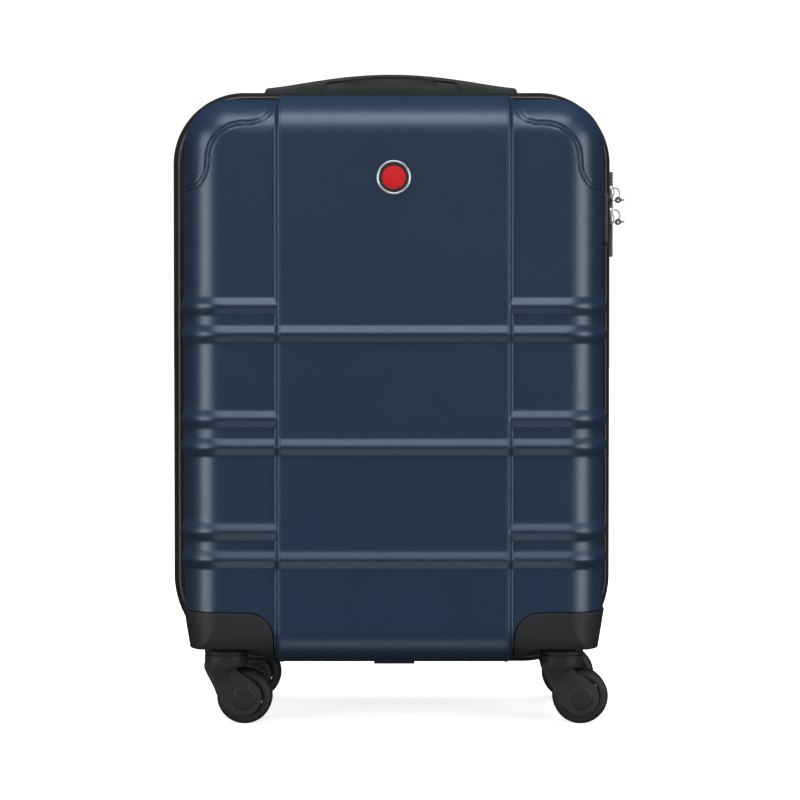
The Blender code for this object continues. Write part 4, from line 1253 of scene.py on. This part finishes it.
# ---------------------------------------------------------------- trolley handle
class SUITCASE_OT_trolley(Operator):
    """Build the trolley's bezel, its three stages of tube, the grip and the button"""

    bl_idname = "suitcase.trolley"
    bl_label = "Trolley Handle"

    def execute(self, context):
        grip_low, grip_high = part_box("trolley_grip")
        self.add_bezel(grip_low, grip_high)
        for stage, body in (("outer", "rear_case"), ("middle", "trolley_middle"), ("inner", "trolley_upper")):
            for hand in HANDS:
                self.add_tube(f"trolley_{stage}_tube_{hand}", body)
        self.add_grip(grip_low, grip_high)
        low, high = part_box("trolley_foot")
        foot = rounded(link("trolley_foot_bar", box_mesh(low, high)), 0.0012, 3)
        for number in range(5):
            x = low.x + (high.x - low.x) * (number + 1.5) / 7
            slot = box_mesh((x - 0.007, low.y + 0.004, low.z - 0.001),
                            (x + 0.007, high.y - 0.004, low.z + 0.005))
            boolean(foot, slot)
        finish(foot, LOOKS["black_plastic"], "rear_case", ["trolley_foot"])
        low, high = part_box("trolley_button")
        outline = rounded_outline(((low.x + high.x) / 2, (low.y + high.y) / 2),
                                  ((high.x - low.x) / 2, (high.y - low.y) / 2), 0.0040)
        button = rounded(link("trolley_push_button", prism_mesh(outline, low.z, high.z, "Z")), 0.0010, 3)
        finish(button, LOOKS["soft_grip"], "trolley_release", ["trolley_button"])
        return {"FINISHED"}

    def add_bezel(self, grip_low, grip_high):
        low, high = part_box("trolley_bezel")
        centre = (low + high) / 2
        frame_piece = prism_mesh(box_outline(low, high, "xy", 0.0070), low.z, high.z, "Z")
        bezel = rounded(link("trolley_bezel_frame", frame_piece), 0.0016, 3)
        well = rounded_outline((centre.x, centre.y), (grip_high.x - centre.x + 0.0005,
                                                      grip_high.y - centre.y + 0.0005), 0.0042)
        boolean(bezel, prism_mesh(well, grip_low.z - 0.0013, high.z + 0.01, "Z"))
        for hand in HANDS:
            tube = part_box(f"trolley_middle_tube_{hand}")
            room = Vector((CLEAR, CLEAR, 0.0))
            passage = box_mesh(Vector((*tube[0].xy, low.z - 0.01)) - room,
                               Vector((*tube[1].xy, high.z)) + room)
            boolean(bezel, passage)
        finish(bezel, LOOKS["black_plastic"], "rear_case", ["trolley_bezel"])

    def add_tube(self, node, body):
        low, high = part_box(node)
        outer = box_outline(low, high, "xy", 0.0024)
        inner = box_outline(low, high, "xy", 0.0013, inset=0.0012)
        rings = [[(x, y, z) for x, y in outline]
                 for outline, z in ((outer, low.z), (outer, high.z), (inner, high.z), (inner, low.z))]
        tube = link(f"{node}_drawn", loft_mesh(rings, closed=True))
        finish(tube, LOOKS["tube_metal"], body, [node])

    def add_grip(self, low, high):
        centre = (low + high) / 2
        bar = prism_mesh(box_outline(low, high, "xy", 0.0042), low.z, high.z, "Z")
        grip = rounded(link("trolley_grip_bar", bar), 0.0030, 4)
        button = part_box("trolley_button")
        spot = ((button[0].x + button[1].x) / 2, (button[0].y + button[1].y) / 2)
        size = ((button[1].x - button[0].x) / 2 + CLEAR, (button[1].y - button[0].y) / 2 + CLEAR)
        pocket = rounded_outline(spot, size, 0.0043)
        boolean(grip, prism_mesh(pocket, high.z - 0.0080, high.z + 0.01, "Z"))
        for side_x in (-1, 1):
            for number in range(7):
                x = centre.x + side_x * (0.026 + 0.005 * number)
                rib = box_mesh((x - 0.0009, low.y - 0.001, high.z - 0.0005),
                               (x + 0.0009, high.y + 0.001, high.z + 0.001))
                boolean(grip, rib)
        finish(grip, LOOKS["black_plastic"], "trolley_upper", ["trolley_grip"])


# ---------------------------------------------------------------- casters
def sleeve(inner, outer, half):
    """The (radius, along) profile of a plain sleeve."""
    return [(inner, -half), (outer, -half), (outer, half), (inner, half)]


def joint_place(name):
    return Vector(next(joint["pos_m"] for joint in frame["joints"] if joint["name"] == name))


class SUITCASE_OT_casters(Operator):
    """Build the four casters: corner housing, fork, axle caps, spoked core and tyre"""

    bl_idname = "suitcase.casters"
    bl_label = "Casters"

    def execute(self, context):
        values = context.scene.suitcase_caster
        shell = context.scene.suitcase_shell
        made = self.fork_mesh(values)
        for end in ENDS:
            for hand in HANDS:
                word = f"{end}_{hand}"
                self.add_housing(word, end, hand, values, shell)
                hub = joint_place(f"wheel_{word}_roll")
                swivel = joint_place(f"swivel_{word}_turn")
                self.add_fork(word, made, swivel, hub)
                self.add_wheel(word, hub, values)
        bpy.data.meshes.remove(made)
        return {"FINISHED"}

    def add_housing(self, word, end, hand, values, shell):
        side, side_x = SIDE[end], SIDE[hand]
        reach = sorted((side * (RIM_Y + CLEAR), side * (FACE_Y + 0.01)))
        housing = link(f"caster_corner_{word}", prism_mesh(housing_outline(side_x), *reach))
        block = square_corners(shell_mesh(shell, side, 0.0, False, False, HOUSING_PROUD, True), HOUSING_SLOPE)
        boolean(housing, block, "INTERSECT")
        swivel = joint_place(f"swivel_{word}_turn")
        x, y = sorted((swivel.x - 0.016, swivel.x + 0.0165)), sorted((side * 0.020, side * 0.082))
        pocket = box_mesh((x[0], y[0], HOUSING_BOTTOM + 0.003), (x[1], y[1], HOUSING_HIGH.z + 0.01))
        boolean(housing, pocket)
        bore = lathe_mesh([(0.0053, 0.05), (0.0053, 0.09)], 32, "Z")
        bore = moved(bore, (swivel.x, swivel.y, 0.0))
        boolean(housing, bore)
        rounded(housing, values.edge * 1.6, 3, 45)
        finish(housing, LOOKS["black_plastic"], f"{end}_case", [f"caster_housing_{word}"])
        screws = bmesh.new()
        for dx, dy in ((-0.0215, -0.015), (-0.0215, 0.015), (0.0125, -0.0245), (0.0125, 0.0245)):
            spot = Matrix.Translation((swivel.x + side_x * dx, swivel.y + dy, HOUSING_BOTTOM))
            head = [(0.0, 0.0008), (0.0030, 0.0008), (0.0030, -0.0004), (0.0024, -0.0011), (0.0011, -0.0012),
                    (0.0009, -0.0004), (0.0, -0.0004)]
            merge(screws, lathe_mesh(head, 20, "Z"), spot)
        finish(link(f"caster_screws_{word}", screws), LOOKS["dark_metal"], f"{end}_case")

    def fork_mesh(self, values):
        """Neck, stem and two legs, round the swivel axis, as one closed mesh."""
        reach = joint_place("wheel_front_left_roll") - joint_place("swivel_front_left_turn")
        trail, wheel_z = reach.x, joint_place("wheel_front_left_roll").z
        neck = [(0.0, 0.0472), (0.0150, 0.0472), (0.0172, 0.0476), (0.0180, 0.0492), (0.0180, 0.0572),
                (0.0174, 0.0576), (0.0174, 0.0582), (0.0180, 0.0586), (0.0180, 0.0612), (0.0168, 0.0626),
                (0.0050, 0.0626), (0.0050, 0.0775), (0.0045, 0.0780), (0.0, 0.0780)]
        fork = link("fork", lathe_mesh(neck, 64, "Z"))
        disc = arc((trail - 0.0008, wheel_z + 0.0002), 0.0154, -142, 28, 28)
        sweep = smooth([disc[-1], (0.0225, 0.0362), (0.0160, 0.0410), (0.0105, 0.0446), (0.0080, 0.0490),
                        (0.0080, 0.0520)], 6)
        back = smooth([(-0.0172, 0.0520), (-0.0172, 0.0480), (-0.0150, 0.0425), (-0.0100, 0.0330),
                       (-0.0045, 0.0205), disc[0]], 6)
        outline = disc + sweep[1:] + back[:-1]
        for inner, outer in ((-0.0138, -0.0103), (0.0103, 0.0138)):
            boolean(fork, prism_mesh(outline, inner, outer), "UNION")
        boolean(fork, self.throat_mesh(), "UNION")
        room = moved(lathe_mesh([(0.0246, -0.0102), (0.0246, 0.0102)], 72), (trail, 0.0, wheel_z))
        boolean(fork, room)
        hole = moved(lathe_mesh([(0.0029, -0.02), (0.0029, 0.02)], 24), (trail, 0.0, wheel_z))
        boolean(fork, hole)
        mesh = rounded(fork, values.edge, 2, 50).data
        bpy.data.objects.remove(fork, do_unlink=True)
        return mesh

    def throat_mesh(self):
        """The stretch where the round neck turns into the two flat legs."""
        rings = []
        for step in range(13):
            share = ease(step / 12)
            z = 0.0540 - 0.0160 * step / 12
            left = -0.0178 + 0.0058 * max(0.0, 0.0475 - z) / 0.0095
            right = 0.0178 - 0.0130 * share
            half_y, power = 0.0179 - 0.0043 * share, 1.0 - 0.45 * share
            ring = []
            for turn in range(48):
                across, deep = squarish(math.tau * turn / 48, power)
                ring.append(((left + right) / 2 + (right - left) / 2 * across, half_y * deep, z))
            rings.append(ring)
        return loft_mesh(rings)

    def add_fork(self, word, made, swivel, hub):
        mesh = made.copy()
        mesh.transform(Matrix.Translation((swivel.x, swivel.y, 0.0)))
        fork = bpy.data.objects.new(f"caster_yoke_{word}", mesh)
        bpy.context.scene.collection.objects.link(fork)
        finish(fork, LOOKS["black_plastic"], f"swivel_{word}", [f"caster_fork_{word}"], 30)
        low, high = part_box(f"caster_axle_{word}")
        radius, out, inner = (high.z - low.z) / 2, (high.y - low.y) / 2, 0.0141
        cap = [(0.0, 0.0003), (radius * 0.55, 0.0002), (radius * 0.8, 0.0004), (radius - 0.0004, 0.0010)]
        profile = [(r, deep - out) for r, deep in cap] + [(radius, -inner), (0.0026, -inner)]
        profile += [(r, -y) for r, y in reversed(profile)]
        pin = lathe_mesh(profile, 60)
        for vertex in pin.verts:
            angle = math.atan2(vertex.co.z, vertex.co.x)
            off_axis = math.hypot(vertex.co.x, vertex.co.z) > 0.003
            swell = 1.0 + 0.045 * math.cos(3 * angle - 0.6) if off_axis else 1.0
            vertex.co.x *= swell * 0.955
            vertex.co.z *= swell * 0.955
        pin = link(f"caster_caps_{word}", moved(pin, hub))
        finish(pin, LOOKS["black_plastic"], f"swivel_{word}", [f"caster_axle_{word}"])

    def add_wheel(self, word, hub, values):
        tyre_low, tyre_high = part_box(f"wheel_tyre_{word}")
        tread, edge = (tyre_high.z - tyre_low.z) / 2, (tyre_high.y - tyre_low.y) / 2
        seat = 0.0153
        shoulder = arc((tread - 0.0062, edge - 0.0062), 0.0062, 90, 8, 9)
        profile = [(seat, -edge + 0.0004), (seat + 0.0006, -edge)] + [(r, -y) for r, y in shoulder]
        profile += [(tread, -0.0012), (tread - 0.0005, -0.0006), (tread - 0.0005, 0.0006), (tread, 0.0012)]
        profile += shoulder[::-1] + [(seat + 0.0006, edge), (seat, edge - 0.0004)]
        tyre = link(f"wheel_tyre_round_{word}", moved(lathe_mesh(profile, 96, "Y", ring=True), hub))
        finish(tyre, LOOKS["tyre"], f"wheel_{word}", [f"wheel_tyre_{word}"], 60)
        half_core = edge - 0.0008
        rim = lathe_mesh(sleeve(0.0118, 0.0150, half_core), 72, "Y", ring=True)
        core = link(f"wheel_core_spoked_{word}", rim)
        boss = lathe_mesh(sleeve(0.0029, 0.0062, half_core), 48, "Y", ring=True)
        boolean(core, boss, "UNION")
        for spoke in range(values.spokes):
            arm = box_mesh((0.0050, -half_core + 0.0012, -0.0013), (0.0125, half_core - 0.0012, 0.0013))
            turned = merge(bmesh.new(), arm, Matrix.Rotation(math.tau * spoke / values.spokes, 4, "Y"))
            boolean(core, turned, "UNION")
        core.data.transform(Matrix.Translation(hub))
        finish(core, LOOKS["black_plastic"], f"wheel_{word}", [f"wheel_core_{word}"])


# ---------------------------------------------------------------- inside
class SUITCASE_OT_inside(Operator):
    """Build the cloth linings, the packing straps and their buckle"""

    bl_idname = "suitcase.inside"
    bl_label = "Lining and Straps"

    def execute(self, context):
        for end in ENDS:
            self.add_lining(end)
        for hand in HANDS:
            self.add_strap(hand)
        self.add_buckle()
        return {"FINISHED"}

    def add_lining(self, end):
        """A cloth tray: a collar under the rim, a skirt and a floor, with soft folds."""
        side = SIDE[end]
        low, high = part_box(f"{end}_lining")
        floor_y = min(abs(low.y), abs(high.y))
        levels = [(RIM_Y - 0.0007, 0.1734, 0.0560, 0.5169, (0.0600, 0.0470)),
                  (RIM_Y - 0.0006, 0.1660, 0.0760, 0.5120, (0.0460, 0.0420)),
                  (RIM_Y + 0.0010, 0.1600, 0.0965, 0.5062, (0.0300, 0.0340)),
                  (RIM_Y + 0.0040, 0.1575, 0.0990, 0.5043, (0.0260, 0.0300)),
                  (RIM_Y + 0.0120, 0.1565, 0.0996, 0.5036, (0.0240, 0.0280)),
                  (RIM_Y + 0.0220, 0.1560, 0.1000, 0.5030, (0.0220, 0.0260)),
                  (floor_y - 0.0060, 0.1555, 0.1004, 0.5024, (0.0200, 0.0240)),
                  (floor_y - 0.0015, 0.1535, 0.1024, 0.5004, (0.0180, 0.0220)),
                  (floor_y, 0.1495, 0.1064, 0.4964, (0.0140, 0.0180))]
        for share in (0.8, 0.6, 0.4, 0.2):
            levels.append((floor_y, 0.1495 * share, 0.3014 - 0.1950 * share, 0.3014 + 0.1950 * share,
                           (0.0140 * share, 0.0180 * share)))
        rings = []
        for level, (deep, half_x, bottom, top, radii) in enumerate(levels):
            ring = []
            outline = rounded_outline((CASE_X, (bottom + top) / 2), (half_x, (top - bottom) / 2), radii, 10)
            soft = 0.0004 if 3 < level < 7 or level > 8 else 0.0
            for step, (x, z) in enumerate(spread(outline, 240)):
                wave = math.sin(step * 0.42 + level * 0.5) * 0.6 + math.sin(step * 0.97 - level * 0.8) * 0.4
                ring.append((x + soft * wave, side * (deep - soft * abs(wave)), z + soft * wave))
            rings.append(ring)
        mesh = bmesh.new()
        loops = [[mesh.verts.new(spot) for spot in ring] for ring in rings]
        bridge(mesh, loops)
        mesh.faces.new(loops[-1])
        outward(mesh)
        cloth = link(f"{end}_lining_cloth", mesh)
        thick = cloth.modifiers.new("cloth", "SOLIDIFY")
        thick.thickness = 0.0006
        bake(cloth)
        finish(cloth, LOOKS["lining"], f"{end}_case", [f"{end}_lining"], 60)
        deep, collar, wide, tall = floor_y - RIM_Y, 0.018, 0.312, 0.403

    def add_strap(self, hand):
        low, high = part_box(f"packing_strap_{hand}")
        side_x = SIDE[hand]
        rings = []
        for step in range(41):
            share = step / 40
            x = low.x + (high.x - low.x) * share
            away = share if side_x > 0 else 1 - share
            lift = 0.0010 * math.sin(math.pi * away) + 0.0003 * math.sin(away * 19)
            twist = 0.0004 * math.sin(away * 7)
            rings.append([(x, y - lift + twist * b, z) for y, z, b in
                          ((low.y, low.z, -1), (low.y, (low.z + high.z) / 2, 0), (low.y, high.z, 1),
                           (high.y - 0.0002, high.z, 1), (high.y - 0.0002, (low.z + high.z) / 2, 0),
                           (high.y - 0.0002, low.z, -1))])
        strap = rounded(link(f"packing_strap_web_{hand}", loft_mesh(rings)), 0.0003, 2, 50)
        finish(strap, LOOKS["webbing"], "rear_case", [f"packing_strap_{hand}"])

    def add_buckle(self):
        low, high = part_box("strap_buckle")
        centre = (low + high) / 2
        plate = prism_mesh(box_outline(low, high, "xz", 0.0060), low.y, high.y)
        buckle = rounded(link("strap_buckle_clip", plate), 0.0014, 3)
        for side_x in (-1, 1):
            x = sorted((centre.x + side_x * 0.0145, centre.x + side_x * 0.0190))
            boolean(buckle, box_mesh((x[0], low.y - 0.001, centre.z - 0.0155),
                                     (x[1], high.y + 0.001, centre.z + 0.0155)))
        button = rounded_outline((centre.x, centre.z), (0.0075, 0.0095), 0.0030)
        groove = rounded_outline((centre.x, centre.z), (0.0085, 0.0105), 0.0040)
        boolean(buckle, prism_mesh(groove, low.y - 0.001, low.y + 0.0008))
        cap = rounded(link("cap", prism_mesh(button, low.y + 0.0001, low.y + 0.0020)), 0.0004)
        boolean(buckle, cap, "UNION")
        finish(buckle, LOOKS["black_plastic"], "rear_case", ["strap_buckle"])


def spread(outline, count):
    """Points at even steps round an outline."""
    lengths = [0.0]
    closed = outline + outline[:1]
    for near, far in zip(closed, closed[1:]):
        lengths.append(lengths[-1] + math.dist(near, far))
    points, here = [], 0
    for step in range(count):
        want = lengths[-1] * step / count
        while lengths[here + 1] < want:
            here += 1
        share = (want - lengths[here]) / max(1e-9, lengths[here + 1] - lengths[here])
        near, far = closed[here], closed[here + 1]
        points.append((near[0] + (far[0] - near[0]) * share, near[1] + (far[1] - near[1]) * share))
    return points


def make_finishes(scene):
    """Every finish, from the settings' colours."""
    shell = scene.suitcase_shell
    moulded("shell", shell.colour, 0.34, 0.0011, 0.000035, 0.05, 0.03,
            **{"Specular IOR Level": 0.76, "Specular Tint": (0.80, 0.91, 1.0, 1.0)})
    black = scene.suitcase_caster.plastic
    moulded("black_plastic", black, 0.52, 0.0006, 0.00006, 0.10, 0.05, **{"Specular IOR Level": 0.30})
    moulded("tyre", scene.suitcase_caster.tyre, 0.62, 0.0007, 0.00003, 0.12, 0.05)
    moulded("soft_grip", scene.suitcase_handle.colour, 0.60, 0.0007, 0.00004, 0.08, 0.05)
    moulded("lock_plastic", (0.045, 0.047, 0.050), 0.42, 0.0005, 0.00002, 0.08, 0.05)
    moulded("dial_plastic", (0.080, 0.083, 0.087), 0.36, 0.0005, 0.00002, 0.08, 0.05)
    moulded("teeth", (0.030, 0.030, 0.032), 0.36, 0.0004, 0.00002, 0.15, 0.06)
    moulded("thread", (0.035, 0.035, 0.038), 0.70, 0.0003, 0.00005, 0.20, 0.06)
    moulded("piping", (0.046, 0.046, 0.047), 0.34, 0.0005, 0.00002, 0.10, 0.06)
    moulded("numbers", (0.62, 0.62, 0.60), 0.45, 0.0005, 0.00001, 0.04, 0.05)
    moulded("stay", (0.050, 0.050, 0.052), 0.55, 0.0005, 0.00004, 0.12, 0.05)
    woven("weave", scene.suitcase_band.colour, 0.0007, 0.00015)
    woven("webbing", (0.030, 0.031, 0.034), 0.0010, 0.0002, False)
    woven("lining", scene.suitcase_trim.lining, 0.0006, 0.0001, False)
    bright = scene.suitcase_trim.metal
    metal("bright_metal", bright, 0.26, metallic=0.72)
    metal("pull_metal", (0.40, 0.40, 0.42), 0.24, metallic=0.8)
    metal("dark_metal", (0.16, 0.16, 0.17), 0.35)
    metal("tube_metal", (0.62, 0.63, 0.65), 0.30, (1.0, 1.0, 0.03), 0.00002, 0.0005)
    tree, bsdf = shader("enamel", scene.suitcase_trim.enamel, 0.22, **{"Coat Weight": 0.6,
                                                                       "Coat Roughness": 0.08})
    place = mottle(tree, bsdf, scene.suitcase_trim.enamel, 0.05, 0.01)
    grain(tree, bsdf, place, 0.0012, 0.00001, 0.22, 0.04)


class SUITCASE_OT_finishes(Operator):
    """Make every material from the colours in the settings"""

    bl_idname = "suitcase.finishes"
    bl_label = "Finishes"

    def execute(self, context):
        make_finishes(context.scene)
        return {"FINISHED"}


# ---------------------------------------------------------------- stage
def soft_box(name, place, size, power, glossy=True):
    """A soft box that faces the middle of the case."""
    light = bpy.data.lights.new(name, "AREA")
    light.shape = "RECTANGLE"
    light.size, light.size_y = size
    light.energy = power
    made = bpy.data.objects.new(name, light)
    made.location = place
    aim = Vector((CASE_X, 0.0, 0.30)) - Vector(place)
    made.rotation_euler = aim.to_track_quat("-Z", "Y").to_euler()
    made.visible_glossy = glossy
    bpy.context.scene.collection.objects.link(made)
    return made


class SUITCASE_OT_stage(Operator):
    """Set up the pale floor, the soft studio light and the camera"""

    bl_idname = "suitcase.stage"
    bl_label = "Stage"

    def execute(self, context):
        values = context.scene.suitcase_stage
        self.add_floor()
        self.add_world(context.scene)
        self.add_lights(values)
        camera = bpy.data.cameras.new("camera")
        camera.lens = values.lens
        camera.sensor_width = 36.0
        made = bpy.data.objects.new("camera", camera)
        made.location = (CASE_X + 0.005, -values.distance, values.height)
        made.rotation_euler = (math.pi / 2 - values.tilt, 0.0, 0.0)
        context.scene.collection.objects.link(made)
        context.scene.camera = made
        context.scene.view_settings.view_transform = "Standard"
        return {"FINISHED"}

    def add_floor(self):
        mesh = bmesh.new()
        bmesh.ops.create_grid(mesh, x_segments=8, y_segments=8, size=60.0)
        floor = link("floor", mesh)
        floor.visible_diffuse = False
        floor.visible_glossy = False
        floor.visible_shadow = False
        tree, bsdf = shader("floor", (0.90, 0.90, 0.90), 0.85, **{
            "Specular IOR Level": 0.1, "Emission Color": (1.0, 1.0, 1.0, 1.0), "Emission Strength": 0.78})
        place = add(tree, "ShaderNodeTexCoord").outputs["Object"]
        cloud = add(tree, "ShaderNodeTexNoise", {"Vector": place, "Scale": 6.0, "Detail": 4.0})
        span = add(tree, "ShaderNodeMapRange", {"Value": cloud.outputs["Fac"], "To Min": 0.89,
                                                "To Max": 0.91})
        tree.links.new(span.outputs[0], bsdf.inputs["Base Color"])
        floor.data.materials.append(LOOKS["floor"])

    def add_world(self, scene):
        """White for the camera, with a dimmer room for everything else."""
        world = bpy.data.worlds.new("studio")
        world.use_nodes = True
        scene.world = world
        tree = world.node_tree
        room = tree.nodes["Background"]
        room.inputs["Color"].default_value = (1.0, 1.0, 1.0, 1.0)
        room.inputs["Strength"].default_value = 0.030
        white = add(tree, "ShaderNodeBackground", {"Color": (1.0, 1.0, 1.0, 1.0), "Strength": 1.15})
        seen = add(tree, "ShaderNodeLightPath").outputs["Is Camera Ray"]
        both = add(tree, "ShaderNodeMixShader", {0: seen, 1: room.outputs[0], 2: white.outputs[0]})
        tree.links.new(both.outputs[0], tree.nodes["World Output"].inputs["Surface"])

    def add_lights(self, values):
        box, far = values.soft_box, 1.8
        angle = math.radians(54)
        for hand in HANDS:
            place = (CASE_X + SIDE[hand] * far * math.sin(angle), -far * math.cos(angle), 0.42)
            soft_box(f"soft_box_{hand}", place, (0.85, 1.6), box)
        soft_box("soft_box_top", (CASE_X, -far * math.cos(angle), 0.35 + far * math.sin(angle)),
                 (1.6, 0.85), box)
        low = Vector((CASE_X, -far * math.cos(angle), 0.25 - far * math.sin(angle)))
        soft_box("soft_box_low", low, (1.6, 0.7), values.low_box)
        soft_box("fill", (CASE_X, -2.6, 0.9), (1.6, 1.2), values.fill, glossy=False)
        sky = bpy.data.lights.new("overhead", "SUN")
        sky.energy = values.overhead
        sky.angle = math.radians(70)
        made = bpy.data.objects.new("overhead", sky)
        made.visible_glossy = False
        bpy.context.scene.collection.objects.link(made)


class SUITCASE_PT_panel(Panel):
    """Suitcase tools"""

    bl_idname = "SUITCASE_PT_panel"
    bl_label = "Hard Shell Suitcase"
    bl_space_type = "VIEW_3D"
    bl_region_type = "UI"
    bl_category = "Suitcase"

    def draw(self, context):
        for made in OPERATORS:
            self.layout.operator(made.bl_idname, text=made.bl_label)


OPERATORS = (SUITCASE_OT_finishes, SUITCASE_OT_stage, SUITCASE_OT_shells, SUITCASE_OT_bands,
             SUITCASE_OT_hinge, SUITCASE_OT_sliders, SUITCASE_OT_lock, SUITCASE_OT_badge,
             SUITCASE_OT_carry_handle, SUITCASE_OT_trolley, SUITCASE_OT_casters, SUITCASE_OT_inside)
SETTINGS = {"suitcase_shell": ShellSettings, "suitcase_band": BandSettings,
            "suitcase_handle": HandleSettings, "suitcase_caster": CasterSettings,
            "suitcase_trim": TrimSettings, "suitcase_stage": StageSettings}


def register():
    for made in (*SETTINGS.values(), *OPERATORS, SUITCASE_PT_panel):
        bpy.utils.register_class(made)
    for name, group in SETTINGS.items():
        setattr(bpy.types.Scene, name, PointerProperty(type=group))


def unregister():
    for name in SETTINGS:
        delattr(bpy.types.Scene, name)
    for made in (SUITCASE_PT_panel, *reversed(OPERATORS), *reversed(SETTINGS.values())):
        bpy.utils.unregister_class(made)


def main():
    """Build the whole suitcase and its stage."""
    register()
    for made in OPERATORS:
        group, name = made.bl_idname.split(".")
        getattr(getattr(bpy.ops, group), name)()


if __name__ == "__main__":
    main()
